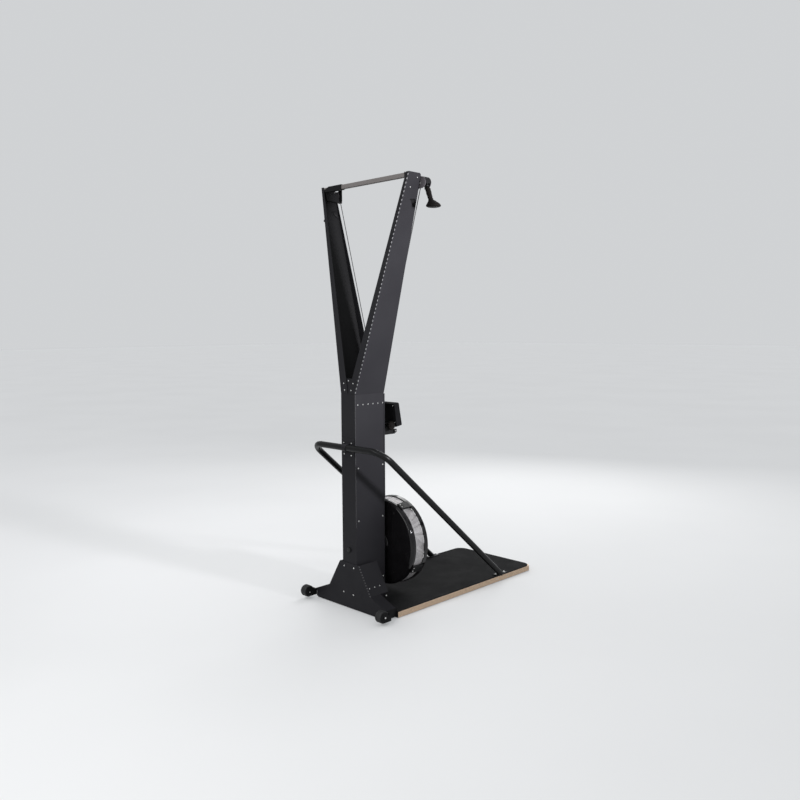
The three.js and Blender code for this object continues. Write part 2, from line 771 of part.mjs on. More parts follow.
function clip() {
  const seat = frontRimRadius + gap;
  return box(seat, seat + clipHeight, clipEndLap - dishFront, -coverRear - clipEndLap,
    -clipWidth / 2, clipWidth / 2);
}
clipAngles.forEach((angle, k) => {
  const piece = add(`fan_clip_${k + 1}`, clip(), plastic);
  piece.rotation.y = -angle * degree;
  piece.position.z = fanHeight;
});

// Fan wheel on its shaft
const fanRear = dishFront + fanClearance;
const fanFront = frontFace - fanClearance;

function fanWheel() {
  const hub = turnY([[shaftRadius + gap, -fanRear], [fanHubRadius, -fanRear], [fanHubRadius, -fanFront],
    [shaftRadius + gap, -fanFront]], 0, fanHeight, roundSides);
  const inner = fanHubRadius - overrun;
  const disc = turnY([[inner, -fanRear], [fanRadius, -fanRear], [fanRadius, -fanRear - fanBackSheet],
    [inner, -fanRear - fanBackSheet]]);
  const blades = [];
  for (let k = 0; k < bladeCount; k += 1) {
    const blade = new THREE.BoxGeometry(fanRadius - bladeInner - overrun, fanFront - fanRear - gap,
      bladeSheet);
    blade.translate((fanRadius + bladeInner - overrun) / 2, -(fanRear + fanFront) / 2, 0);
    blades.push(solid(blade.rotateY((k / bladeCount) * full).translate(0, 0, fanHeight)));
  }
  return join(hub, disc, ...blades);
}
add('fan_wheel', fanWheel(), alloy);

const shaftRear = -(sheet + gap);
function shaft() {
  const nutRear = -drumFront - gap;
  const rod = rodY(shaftRadius, shaftRear, nutRear - shaftNutWidth / 2);
  return join(rod, rodY(shaftNutRadius, nutRear, nutRear - shaftNutWidth, 0, fanHeight, hexSides));
}
add('fan_shaft', shaft(), zinc);

// Bearings in the column's back and its front cover, and the cap over the shaft's end
function bearing(wall, inward) {
  const bore = shaftRadius + gap;
  const near = wall + inward * gap;
  const flangeEnd = near + inward * bearingFlangeSheet;
  const end = near + inward * bearingWidth;
  return turnY([[bore, near], [bearingFlange, near], [bearingFlange, flangeEnd], [bearingRadius, flangeEnd],
    [bearingRadius, end], [bore, end]], 0, fanHeight, roundSides);
}
add('shaft_rear_bearing', bearing(-sheet, -1), zinc);
add('shaft_front_bearing', bearing(-coverFront + sheet, 1), zinc);
const cap = [[0, gap], [capRadius, gap], [capRadius, capHeight - sheet], [capRadius - sheet, capHeight],
  [0, capHeight]];
add('shaft_end_cap', turnY(cap, 0, fanHeight, roundSides), plastic);

// Spools: a drive groove for the cord and a smaller return groove for its bungee
const driveGroove = 2 * cordRadius + cordPlay;
const returnGroove = 2 * bungeeRadius + cordPlay;
const spoolWidth = driveGroove + returnGroove + 3 * spoolFlange;

function spool(start) {
  const bore = shaftRadius + gap;
  const drive = spoolPitch - cordRadius - gap;
  const back = returnPitch - bungeeRadius - gap;
  const steps = [];
  let y = -start;
  const wall = (radius, width) => {
    steps.push([radius, y], [radius, y - width]);
    y -= width;
  };
  wall(spoolRim, spoolFlange);
  wall(drive, driveGroove);
  wall(spoolRim, spoolFlange);
  wall(back, returnGroove);
  wall(spoolRim, spoolFlange);
  return turnY([[bore, -start], ...steps, [bore, y]], 0, fanHeight, roundSides);
}
const spoolStarts = { left: spoolStart, right: spoolStart + spoolWidth + spoolGap };
const drivePlane = {};
const returnPlane = {};
for (const [name] of bothSides) {
  drivePlane[name] = -(spoolStarts[name] + spoolFlange + driveGroove / 2);
  returnPlane[name] = -(spoolStarts[name] + 2 * spoolFlange + driveGroove + returnGroove / 2);
  add(`${name}_spool`, spool(spoolStarts[name]), alloy);
}

// Guide sheaves on one pin where the arms meet
const guideWidth = driveGroove + 2 * guideFlange;
function sheave(plane, width, pitch, rim, bore, x, z) {
  const floor = pitch - cordRadius - gap;
  const flange = (width - driveGroove) / 2;
  const near = plane + width / 2;
  const far = plane - width / 2;
  return turnY([[bore, near], [rim, near], [floor, near - flange], [floor, far + flange], [rim, far],
    [bore, far]], x, z, roundSides);
}
function guidePin() {
  const start = guidePinTail - lipFront;
  const end = drivePlane.right - guideWidth / 2 - gap;
  const rod = rodY(guidePinRadius, start, end, 0, guideHeight);
  const head = rodY(pinHeadRadius, end, end - pinHeadHeight, 0, guideHeight, hexSides);
  const collarEnd = drivePlane.left + guideWidth / 2 + gap;
  const collar = rodY(pinHeadRadius, -armFront + sheet, collarEnd, 0, guideHeight);
  return join(rod, head, collar);
}
add('guide_pin', guidePin(), zinc);
for (const [name] of bothSides) {
  const turned = sheave(drivePlane[name], guideWidth, guidePitch, guideRim, guidePinRadius + gap,
    0, guideHeight);
  add(`${name}_guide_sheave`, turned, plastic);
}

// Pulleys in their folded brackets at the arm tops
const bracketRear = -armFront - gap - bracketSheet;
const bracketFront = -pulleyFront - bracketFrontGap;

function pulleyBracket(side) {
  const outline = [
    [bracketInner, bracketBottom], [noseShoulder, bracketBottom], [noseTuck, noseTuckHeight],
    [noseAcross, noseHeight], [noseShoulder, bracketTop], [bracketInner, bracketTop],
  ];
  const placed = side > 0 ? outline : mirror(outline);
  const block = slabXZ(placed, bracketRear + bracketSheet, bracketFront - bracketSheet);
  const reach = side * (noseAcross + overrun);
  const [low, high] = [bracketBottom - overrun, bracketTop + overrun];
  const past = bracketFront - bracketSheet - overrun;
  const room = box(side * (bracketWebInner + bracketSheet), reach, bracketRear, bracketFront, low, high);
  const innerTrim = box(0, side * bracketWebInner, bracketRear, past, low, high);
  const noseTrim = box(side * (noseAcross - frontNoseTrim), reach, bracketFront + overrun, past, low, high);
  const pin = rodY(pulleyPinRadius, bracketRear + bracketSheet / 2, bracketFront - bracketSheet / 2,
    side * pulleyAcross, pulleyHeight);
  const head = rodY(pinHeadRadius, bracketFront - bracketSheet / 2,
    bracketFront - bracketSheet - pinHeadHeight, side * pulleyAcross, pulleyHeight, hexSides);
  return join(cut(block, room, innerTrim, noseTrim), pin, head);
}
for (const [name, side] of bothSides) {
  add(`${name}_pulley_bracket`, pulleyBracket(side), paint);
  add(`${name}_pulley`, sheave(-pulleyFront, pulleyWidth, pulleyPitch, pulleyRim, pulleyPinRadius + gap,
    side * pulleyAcross, pulleyHeight), plastic);
}

// Where a line that touches two circles meets them; sign is the side of the line each centre lies on
function tangent(from, to) {
  const [dx, dz] = [to.x - from.x, to.z - from.z];
  const length = Math.hypot(dx, dz);
  const share = (from.sign * from.radius - to.sign * to.radius) / length;
  const rest = Math.sqrt(1 - share * share);
  const normal = [(dx / length) * share - (dz / length) * rest, (dz / length) * share + (dx / length) * rest];
  const touch = (c) => [c.x + c.sign * c.radius * normal[0], c.z + c.sign * c.radius * normal[1]];
  return [touch(from), touch(to)];
}

// Drive cord: over the pulley, down the arm's inner side, past the guide sheave to the spool
const pulleyArcSteps = 12;
function cordRun(name, side) {
  const top = { x: side * pulleyAcross, z: pulleyHeight, radius: pulleyPitch, sign: side > 0 ? -1 : 1 };
  const guide = { x: 0, z: guideHeight, radius: guidePitch, sign: side > 0 ? 1 : -1 };
  const drum = { x: 0, z: fanHeight, radius: spoolPitch, sign: 1 };
  const [offPulley, onGuide] = tangent(top, guide);
  const [offGuide, onSpool] = tangent(guide, drum);
  const points = [];
  const leave = Math.atan2(offPulley[1] - top.z, offPulley[0] - top.x);
  const start = side > 0 ? 0 : Math.PI;
  for (let k = 0; k <= pulleyArcSteps; k += 1) {
    const turn = start + ((leave - start) * k) / pulleyArcSteps;
    points.push(at(top.x + top.radius * Math.cos(turn), -pulleyFront, top.z + top.radius * Math.sin(turn)));
  }
  points.push(at(onGuide[0], drivePlane[name], onGuide[1]));
  points.push(at(offGuide[0], drivePlane[name], offGuide[1]));
  points.push(at(onSpool[0], drivePlane[name], onSpool[1]));
  return bar(points, cordRadius, cordSides);
}
for (const [name, side] of bothSides) add(`${name}_cord_run`, cordRun(name, side), cordFabric);

// Return bungees, from the spools' small grooves up to their anchor
for (const [name] of bothSides) {
  const top = anchorHeight - anchorThickness / 2 - gap;
  const [x, y] = [-returnPitch, returnPlane[name]];
  add(`${name}_bungee`, bar([at(x, y, fanHeight), at(x, y, top)], bungeeRadius, cordSides), cordFabric);
}
function bungeeAnchor() {
  const low = anchorHeight - anchorThickness / 2;
  const high = anchorHeight + anchorThickness / 2;
  const wall = box(-anchorOuter, anchorWall - anchorOuter, -coverFront - gap,
    returnPlane.right - bungeeRadius, low, high);
  const fingers = bothSides.map(([name]) => box(-anchorOuter, -anchorFinger, returnPlane[name] - bungeeRadius,
    returnPlane[name] + bungeeRadius, low, high));
  return join(wall, ...fingers);
}
add('bungee_anchor', bungeeAnchor(), zinc);

// Handles: a stop on the cord's end, then a leaning grip with a flared foot
const dropX = pulleyAcross + pulleyPitch;
const stopHeight = pullTop - stopRadius;

// The grip's level rings: shares of its height and reach, each with its ring's radius
const gripRings = [
  [0, 0.06, gripRadius * 0.75], [0.05, 0.11, gripRadius], [0.35, 0.38, gripRadius],
  [0.6, 0.62, gripRadius * 0.9], [0.75, 0.8, flareRadius * 0.5], [0.865, 0.95, flareRadius * 0.89],
  [0.915, 1, flareRadius], [0.965, 1, flareRadius * 0.97], [1, 1, flareFoot],
];

function grip(side) {
  const top = stopHeight - stopRadius - gap;
  const levels = gripRings.map(([downShare, outShare, radius]) => {
    const outline = [];
    for (let k = 0; k < roundSides; k += 1) {
      const turn = (k / roundSides) * full;
      const x = side * (dropX + outShare * gripReach) + radius * Math.cos(turn);
      outline.push([x, -pulleyFront + radius * Math.sin(turn)]);
    }
    return { z: top - downShare * gripHeight, outline };
  });
  return loft(levels.reverse());
}
for (const [name, side] of bothSides) {
  const top = pulleyHeight - gap;
  const x = side * dropX;
  const drop = bar([at(x, -pulleyFront, top), at(x, -pulleyFront, pullTop + gap)], cordRadius, cordSides);
  add(`${name}_cord_drop`, drop, cordFabric);
  const ball = new THREE.SphereGeometry(stopRadius, ballSides, ballRings);
  add(`${name}_cord_stop`, solid(ball.translate(x, -pulleyFront, stopHeight)), rubber);
  add(`${name}_grip`, grip(side), rubber);
}

// Damper: a slotted ring with a lever that covers more or less of the front vents
function damper() {
  const back = -drumFront - gap;
  const front = back - damperSheet;
  const ring = turnY([[damperInner, back], [damperOuter, back], [damperOuter, front], [damperInner, front]]);
  const lever = box(damperOuter - overrun, damperLever, back, front,
    fanHeight - damperLeverWidth / 2, fanHeight + damperLeverWidth / 2);
  const handle = box(damperLever - damperKnob / 2, damperLever + damperKnob / 2, back, front - damperKnob,
    fanHeight - damperKnob / 2, fanHeight + damperKnob / 2);
  const slots = sectors(frontVentInner, damperOuter - ventRib, ventCount, damperShare, back, front);
  return cut(join(ring, lever, handle), ...slots);
}
add('damper_ring', damper(), plastic);

// Monitor on a tilting pivot in front of the cover's channel
const hatFront = coverFront + hatDepth;

function monitorBracket() {
  const side = neckHalfWidth + gap + lugSheet;
  const rear = -hatFront - gap;
  const armTop = mountArmBottom + mountArmHeight;
  const plate = box(-side, side, rear - mountPlateSheet, rear, mountArmBottom, mountPlateTop);
  const arm = slabYZ([
    [rear - mountPlateSheet / 2, mountArmBottom], [mountArmChamfer - mountArmFront, mountArmBottom],
    [-mountArmFront, mountArmBottom + mountArmChamfer], [-mountArmFront, armTop],
    [rear - mountPlateSheet / 2, armTop],
  ], -side, side);
  const lug = (near, far) => join(
    rodX(lugRadius, near, far, -pivotFront, pivotHeight),
    box(near, far, -pivotFront - lugRadius, -pivotFront + lugRadius, armTop - overrun, pivotHeight));
  const bore = rodX(pivotRadius + gap, -columnWidth, columnWidth, -pivotFront, pivotHeight);
  return cut(join(plate, arm, lug(neckHalfWidth + gap, side), lug(-side, -neckHalfWidth - gap)), bore);
}
add('monitor_bracket', monitorBracket(), plastic);

// The monitor is drawn upright about its pivot and then tilted back
const monitor = new THREE.Group();
monitor.position.set(0, -pivotFront, pivotHeight);
monitor.rotation.x = -monitorTilt * degree;
machine.add(monitor);
const caseRear = -pivotToCase;
const caseFront = caseRear - monitorDepth;
const caseMiddle = monitorHeight / 2 - monitorDrop;
const screenMiddle = caseMiddle + screenRise;

function monitorCase() {
  const outline = (inset) => {
    const [w, h, r] = [monitorWidth / 2 - inset, monitorHeight / 2 - inset, monitorCorner];
    const rightEdge = [[w - r, -h], [w, r - h], [w, h - r], [w - r, h]];
    return [...rightEdge, ...mirror(rightEdge).reverse()].map(([x, z]) => [x, z + caseMiddle]);
  };
  const body = slabXZ(outline(0), caseRear, caseFront + monitorCorner / 2);
  const face = slabXZ(outline(monitorCorner / 2), caseRear - overrun, caseFront);
  const glass = screenBlock(0, caseFront - overrun, caseFront + screenSheet + bezelStep);
  const sockets = buttonPlaces().map(([x, z]) => rodY(buttonRadius + gap, caseFront - overrun,
    caseFront + buttonSocket, x, z, buttonSides));
  const neck = box(-neckHalfWidth, neckHalfWidth, caseRear - overrun, 0, -lugRadius, lugRadius);
  const eye = rodX(lugRadius, -neckHalfWidth, neckHalfWidth, 0, 0);
  const bore = rodX(pivotRadius + gap, -monitorWidth, monitorWidth, 0, 0);
  return cut(join(body, face, neck, eye), glass, bore, ...sockets);
}

// The screen's window, drawn in by an inset all round
function screenBlock(inset, front, rear) {
  return box(inset - screenWidth / 2, screenWidth / 2 - inset, front, rear,
    screenMiddle - screenHeight / 2 + inset, screenMiddle + screenHeight / 2 - inset);
}

function buttonPlaces() {
  const places = [];
  for (let k = 0; k < buttonCount; k += 1) {
    places.push([(k - (buttonCount - 1) / 2) * buttonPitch, caseMiddle - buttonDrop]);
  }
  return places;
}
add('monitor_case', monitorCase(), plastic, monitor);
const screen = screenBlock(gap, caseFront + bezelStep, caseFront + screenSheet + bezelStep - gap);
add('monitor_screen', screen, screenGlass, monitor);
buttonPlaces().forEach(([x, z], k) => {
  const [front, rear] = [caseFront - buttonHeight / 2, caseFront + buttonHeight / 2];
  add(`monitor_button_${k + 1}`, rodY(buttonRadius, front, rear, x, z, buttonSides), rubber, monitor);
});

// Ribbed hand knob on the pivot bolt
function tiltKnob() {
  const knobEnd = -knobStart - knobWidth;
  const lugOuter = neckHalfWidth + gap + lugSheet + gap;
  const pieces = [rodX(knobRadius - knobRibRadius / 2, knobEnd, -knobStart, 0, 0)];
  for (let k = 0; k < knobRibs; k += 1) {
    const turn = (k / knobRibs) * full;
    const reach = knobRadius - knobRibRadius;
    const [y, z] = [reach * Math.cos(turn), reach * Math.sin(turn)];
    pieces.push(rodX(knobRibRadius, knobEnd, -knobStart, y, z, hexSides));
  }
  pieces.push(rodX(knobNeckRadius, -knobStart - overrun, -lugOuter, 0, 0));
  pieces.push(rodX(pivotRadius, -knobStart, lugOuter + overrun, 0, 0));
  pieces.push(rodX(knobNeckRadius, lugOuter, lugOuter + overrun, 0, 0, hexSides));
  return join(...pieces);
}
const knob = add('tilt_knob', tiltKnob(), plastic);
knob.position.set(0, -pivotFront, pivotHeight);

const whole = new THREE.Group();
whole.add(machine);
export default whole;
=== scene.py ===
# %% [markdown]
# # A ski trainer machine
# The machine stands on a wooden platform. A boxed steel column carries two arms that
# splay to a pulley each, and a fan drum hangs on the front of the column. The solids
# come ready made; this file adds the camera, the light, the finishes and the small
# details that make them look like the real machine.

# %% Load the solids
import itertools
import math

import bmesh
import bpy
from mathutils import Matrix, Quaternion, Vector


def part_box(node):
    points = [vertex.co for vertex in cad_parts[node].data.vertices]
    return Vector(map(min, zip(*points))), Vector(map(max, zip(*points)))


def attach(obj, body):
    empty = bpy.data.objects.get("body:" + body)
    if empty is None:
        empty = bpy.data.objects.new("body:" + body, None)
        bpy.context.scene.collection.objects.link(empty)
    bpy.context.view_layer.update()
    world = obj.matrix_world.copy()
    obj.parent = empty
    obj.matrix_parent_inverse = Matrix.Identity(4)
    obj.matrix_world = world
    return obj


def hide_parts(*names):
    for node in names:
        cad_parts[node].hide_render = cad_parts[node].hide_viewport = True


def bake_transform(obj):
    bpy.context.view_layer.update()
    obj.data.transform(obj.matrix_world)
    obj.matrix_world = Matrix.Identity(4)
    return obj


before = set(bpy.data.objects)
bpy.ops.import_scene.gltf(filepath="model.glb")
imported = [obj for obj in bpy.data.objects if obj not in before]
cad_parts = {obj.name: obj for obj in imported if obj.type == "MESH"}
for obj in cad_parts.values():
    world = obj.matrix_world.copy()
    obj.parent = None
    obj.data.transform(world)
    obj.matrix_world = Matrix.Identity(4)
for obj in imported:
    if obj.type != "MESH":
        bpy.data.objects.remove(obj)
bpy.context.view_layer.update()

# %% [markdown]
# Every place below is written as on a workshop drawing: millimetres across from the
# middle, millimetres along from the back of the column (the front is negative), and
# millimetres above the floor. Metres would work as well, but a maker measures and reads
# in millimetres. One helper turns a place into metres for Blender, and two more read a
# solid's corners and its middle back as drawing sizes, so new pieces follow the solids.

# %% Places on the drawing
MM = 0.001
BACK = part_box("column_shell")[1].y
UP = Vector((0, 0, 1))
SIDES = {"left": 1, "right": -1}


def spot(across, along, height):
    """A place in metres from drawing millimetres."""
    return Vector((across * MM, BACK + along * MM, height * MM))


def drawn(point):
    """A place in metres as drawing millimetres, to a tenth."""
    return tuple(round(value / MM, 1) for value in (point.x, point.y - BACK, point.z))


def corners_of(name):
    """The low and the high corner of a solid's box on the drawing."""
    return [drawn(corner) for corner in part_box(name)]


def middle_of(name):
    """The middle of a solid's box on the drawing."""
    low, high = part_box(name)
    return drawn((low + high) / 2)


COLUMN_HALF, _, COLUMN_TOP = corners_of("column_shell")[1]
DRUM_RADIUS = corners_of("fan_rear_dish")[1][0]
DRUM_HEIGHT = middle_of("fan_rear_dish")[2]
print("column:", 2 * COLUMN_HALF, "mm wide and", COLUMN_TOP, "mm high; drum at", DRUM_HEIGHT, "mm")

# %% [markdown]
# The camera looks at the machine from behind and from one side, at shoulder height and
# tipped down by five degrees. It could be placed by hand and turned until it looks right,
# but a lens, a place and a heading are easier to repeat. Its three directions are built
# from that heading, so the picture comes out the same each time.

# %% Camera
LENS = 36.39
SENSOR = 36
HEADING = Vector((0.7040, -0.7102, 0)).normalized()
PITCH = 0.08829
ROLL = 0.00526
CAMERA_PLACE = (-3010.9, 2668.8, 1422.05)


def look(place, heading, pitch, roll):
    """A camera matrix from a place, a level heading, a downward pitch and a roll."""
    level = heading.cross(UP)
    ahead = heading * math.cos(pitch) - UP * math.sin(pitch)
    above = heading * math.sin(pitch) + UP * math.cos(pitch)
    right = level * math.cos(roll) - above * math.sin(roll)
    top = level * math.sin(roll) + above * math.cos(roll)
    turn = Matrix((right, top, -ahead)).transposed().to_4x4()
    turn.translation = place
    return turn


camera_data = bpy.data.cameras.new("camera")
camera_data.lens = LENS
camera_data.sensor_width = SENSOR
camera = bpy.data.objects.new("camera", camera_data)
camera.matrix_world = look(spot(*CAMERA_PLACE), HEADING, PITCH, ROLL)
bpy.context.collection.objects.link(camera)
bpy.context.scene.camera = camera
print("camera at", [round(v, 3) for v in camera.matrix_world.translation])

# %% [markdown]
# Finishes and light levels are small networks of nodes. Each finish of ours starts from
# the same shader and then gets what the real surface has: a fine grain that bends the
# light, slow changes of shade, and uneven gloss. The nodes could be joined by hand in the
# shader editor. Written as helpers, a network is a few readable lines, and every finish
# that needs the same detail gets it in the same way.

# %% Helpers for nodes
CLOUD_FROM, CLOUD_TO = 0.35, 0.65
GLOSS_FROM, GLOSS_TO = 0.3, 0.7


def wire(owner, value, socket):
    """Joins an output to a socket, or sets the socket to a plain value."""
    if isinstance(value, bpy.types.NodeSocket):
        owner.node_tree.links.new(value, socket)
    else:
        socket.default_value = value


def node(owner, kind, settings=None, **inputs):
    """A node of a finish or of the world, with its settings and its sockets given by name."""
    made = owner.node_tree.nodes.new(kind)
    for key, value in (settings or {}).items():
        setattr(made, key, value)
    for key, value in inputs.items():
        wire(owner, value, made.inputs[key.replace("_", " ")])
    return made


def arithmetic(owner, operation, *values):
    """One step of arithmetic on plain values or outputs."""
    step = node(owner, "ShaderNodeMath", {"operation": operation})
    for value, socket in zip(values, step.inputs):
        wire(owner, value, socket)
    return step.outputs["Value"]


def blended(owner, way, share, first, second):
    """Two colours mixed, or multiplied where way is MULTIPLY."""
    mix = node(owner, "ShaderNodeMix", {"data_type": "RGBA", "blend_type": way})
    for value, socket in ((share, mix.inputs[0]), (first, mix.inputs[6]), (second, mix.inputs[7])):
        wire(owner, value, socket)
    return mix.outputs[2]


def new_finish(name, colour, roughness, metallic=0.0, shine=0.5):
    """A material with its plain values set on the shader itself."""
    finish = bpy.data.materials.new(name)
    finish.use_nodes = True
    shader = finish.node_tree.nodes["Principled BSDF"]
    shader.inputs["Base Color"].default_value = (*colour, 1)
    shader.inputs["Roughness"].default_value = roughness
    shader.inputs["Metallic"].default_value = metallic
    shader.inputs["Specular IOR Level"].default_value = shine
    return finish


def into(finish, output, socket):
    """Joins an output to a socket of the finish's shader."""
    wire(finish, output, finish.node_tree.nodes["Principled BSDF"].inputs[socket])


def place_of(finish):
    """The point on the object, in metres, that patterns are laid out by."""
    return node(finish, "ShaderNodeTexCoord").outputs["Object"]


def stretched(finish, where, scale):
    """A place with its three directions scaled, which draws a pattern out or turns it finer."""
    return node(finish, "ShaderNodeMapping", Vector=where, Scale=scale).outputs["Vector"]


def fine_noise(finish, where, scale, detail=2.0):
    """Noise from 0 to 1; scale is how many of its lumps lie in a metre."""
    return node(finish, "ShaderNodeTexNoise", Vector=where, Scale=scale, Detail=detail).outputs["Fac"]


def shade(finish, where, low, high, scale, detail=3.0):
    """Slow changes between two colours, as cloudy noise."""
    ramp = node(finish, "ShaderNodeValToRGB", Fac=fine_noise(finish, where, scale, detail))
    for stop, position, colour in zip(ramp.color_ramp.elements, (CLOUD_FROM, CLOUD_TO), (low, high)):
        stop.position = position
        stop.color = (*colour, 1)
    return ramp.outputs["Color"]


def gloss_range(finish, where, rough, scale):
    """Uneven gloss: roughness wanders between two values."""
    spread = node(finish, "ShaderNodeMapRange", Value=fine_noise(finish, where, scale, 4.0),
                  From_Min=GLOSS_FROM, From_Max=GLOSS_TO, To_Min=rough[0], To_Max=rough[1])
    into(finish, spread.outputs["Result"], "Roughness")


def grain(finish, height, strength, depth):
    """Turns a height pattern into bumps of a real depth in metres."""
    bump = node(finish, "ShaderNodeBump", Height=height, Strength=strength, Distance=depth)
    into(finish, bump.outputs["Normal"], "Normal")


def darker(colour, share):
    """The same hue with less light in it."""
    return tuple(channel * share for channel in colour)


print("finish helpers ready; clouds run from", CLOUD_FROM, "to", CLOUD_TO)

# %% [markdown]
# Light comes as in a plain studio. A soft spot far out on the near side is strongest on
# the arms and draws the shadow of the brace across the column. A long strip light hangs
# over the rear and leans, so that its reflection lies as a bright arc in the drum's gloss,
# and a weak square panel opens the shadows in front. A pale world fills the rest. An
# image of a studio could light it as well, but lamps can be read and moved one by one.
# The world is paler where it is seen than where it lights, which Light Path tells apart,
# and Standard view keeps written colours as they are.

# %% Light
WORLD_LEVEL = 0.7
WORLD_SEEN = 0.66
WORLD_TINT = (0.96, 0.98, 1.0, 1)
SPOT_LAMP = dict(place=(-3452, -610, 1857), aim=(-52, -100, 1857), radius=0.22, cone=58, power=900,
                 tint=(0.97, 0.96, 1.0))
PANELS = {
    "rear_strip": dict(place=(-350, 2450, 2200), aim=(0, -225, DRUM_HEIGHT), size=(3.3, 0.35), power=32,
                       lean=-41.6),
    "front_panel": dict(place=(1500, -3600, 2800), aim=(0, -200, 900), size=(2.5, 2.5), power=60),
}


def seen_directly(owner, hidden, seen):
    """One value for light that bounces off matte things, another for what an eye or a mirror sees."""
    path = node(owner, "ShaderNodeLightPath")
    direct = path.outputs["Is Camera Ray"]
    for ray in ("Is Glossy Ray", "Is Transmission Ray"):
        direct = arithmetic(owner, "MAXIMUM", direct, path.outputs[ray])
    return node(owner, "ShaderNodeMapRange", Value=direct, To_Min=hidden, To_Max=seen).outputs["Result"]


def hang_lamp(data, lamp):
    """Puts a lamp at its place, turned to what it lights and leaning about that line."""
    data.energy = lamp["power"]
    light = bpy.data.objects.new(data.name, data)
    light.location = spot(*lamp["place"])
    facing = (spot(*lamp["aim"]) - light.location).to_track_quat("-Z", "Y")
    light.rotation_euler = (facing @ Quaternion(UP, math.radians(lamp.get("lean", 0)))).to_euler()
    bpy.context.collection.objects.link(light)


scene = bpy.context.scene
scene.view_settings.view_transform = "Standard"
world = bpy.data.worlds.new("studio")
world.use_nodes = True
scene.world = world
backdrop = world.node_tree.nodes["Background"]
backdrop.inputs["Color"].default_value = WORLD_TINT
wire(world, seen_directly(world, WORLD_LEVEL, WORLD_SEEN), backdrop.inputs["Strength"])

spot_data = bpy.data.lights.new("near_spot", "SPOT")
spot_data.shadow_soft_size = SPOT_LAMP["radius"]
spot_data.spot_size = math.radians(SPOT_LAMP["cone"])
spot_data.spot_blend = 1
spot_data.color = SPOT_LAMP["tint"]
hang_lamp(spot_data, SPOT_LAMP)
for name, lamp in PANELS.items():
    panel = bpy.data.lights.new(name, "AREA")
    panel.shape = "RECTANGLE"
    panel.size, panel.size_y = lamp["size"]
    hang_lamp(panel, lamp)
print("lamps:", "near_spot,", ", ".join(PANELS))

# %% [markdown]
# The frame is powder coated. Powder melts into a skin with a very fine orange-peel
# texture, nearly matte, and it looks slightly cloudy over a large sheet. One flat colour
# would make the column look like paper; cloud, gloss and grain together look like paint.
# The bar between the arms has a lighter grey coat, the brace has a smoother and glossier
# one, and a darker coat serves the dark brackets and paints the shade inside a channel.

# %% Coats on the steel
CLOUDS, GLOSS_PATCHES = 3.0, 14.0
PEEL_LUMPS, PEEL_DEPTH = 900.0, 0.0004


def powder_coat(name, dark, light, rough, peel, shine=0.16):
    """Powder coat: cloudy shade, uneven gloss and orange-peel grain."""
    finish = new_finish(name, light, rough[1], shine=shine)
    where = place_of(finish)
    into(finish, shade(finish, where, dark, light, CLOUDS), "Base Color")
    gloss_range(finish, where, rough, GLOSS_PATCHES)
    grain(finish, fine_noise(finish, where, PEEL_LUMPS), peel, PEEL_DEPTH)
    return finish


frame_coat = powder_coat("frame_coat", (0.0168, 0.0164, 0.0190), (0.0208, 0.0204, 0.0232),
                         rough=(0.42, 0.54), peel=0.3, shine=0.10)
bar_coat = powder_coat("bar_coat", (0.215, 0.196, 0.190), (0.260, 0.240, 0.235),
                       rough=(0.48, 0.60), peel=0.35)
brace_coat = powder_coat("brace_coat", (0.0048, 0.0050, 0.0053), (0.0070, 0.0072, 0.0076),
                         rough=(0.30, 0.38), peel=0.12)
# Its darker colour is painted shade on faces inside a channel and in the cord ports; on forks, mounts and
# brackets it is their own dark coat.
dark_coat_and_shade = powder_coat("dark_coat_and_shade", (0.0085, 0.0085, 0.0090), (0.0115, 0.0115, 0.0120),
                         rough=(0.5, 0.6), peel=0.3, shine=0.1)
coats = (frame_coat, bar_coat, brace_coat, dark_coat_and_shade)
print("coats:", ", ".join(coat.name for coat in coats))

# %% [markdown]
# The drum is moulded with a polished skin, while the clips and the monitor are moulded
# with a fine satin texture. Rubber is rougher still and has almost no shine. All of them
# come out of a mould, so one helper makes them all, and only gloss and texture differ.
# The same helper gives the pale lip of each slot, because worn paint looks like neither
# fresh paint nor bare steel, and a pale strip on the column's folds that is a painted highlight.

# %% Mouldings and rubber
MOULD_SHADE, MOULD_CLOUDS, MOULD_PATCHES = 0.78, 22.0, 60.0
MOULD_DEPTH = 0.0003


def moulding(name, colour, rough, lumps, strength, shine=0.3):
    """Moulded plastic or rubber: uneven gloss, and a texture of so many lumps to the metre."""
    finish = new_finish(name, colour, rough[1], shine=shine)
    where = place_of(finish)
    into(finish, shade(finish, where, darker(colour, MOULD_SHADE), colour, MOULD_CLOUDS), "Base Color")
    gloss_range(finish, where, rough, MOULD_PATCHES)
    grain(finish, fine_noise(finish, where, lumps), strength, MOULD_DEPTH)
    return finish


polished = moulding("polished_moulding", (0.0085, 0.0080, 0.0088), (0.04, 0.07), 260.0, 0.006)
slot_edge = moulding("slot_edge", (0.20, 0.20, 0.205), (0.45, 0.6), 900.0, 0.3, shine=0.5)
# A pale strip on each column fold is a painted highlight, where light would catch the fold.
painted_fold_highlight = moulding("painted_fold_highlight", (0.16, 0.16, 0.165), (0.35, 0.5), 700.0, 0.3, shine=0.5)
case_plastic = moulding("case_plastic", (0.0090, 0.0090, 0.0098), (0.72, 0.85), 1600.0, 0.35, shine=0.04)
display = moulding("display_window", (0.060, 0.070, 0.058), (0.05, 0.1), 90.0, 0.01, shine=0.5)
satin = moulding("satin_moulding", (0.0090, 0.0090, 0.0098), (0.34, 0.46), 1400.0, 0.3, shine=0.25)
housing = moulding("housing_moulding", (0.150, 0.138, 0.150), (0.4, 0.52), 1400.0, 0.3, shine=0.2)
grip_rubber = moulding("grip_rubber", (0.0072, 0.0060, 0.0056), (0.5, 0.62), 1100.0, 0.5, shine=0.06)
tread_rubber = moulding("tread_rubber", (0.026, 0.026, 0.027), (0.55, 0.72), 350.0, 0.9)
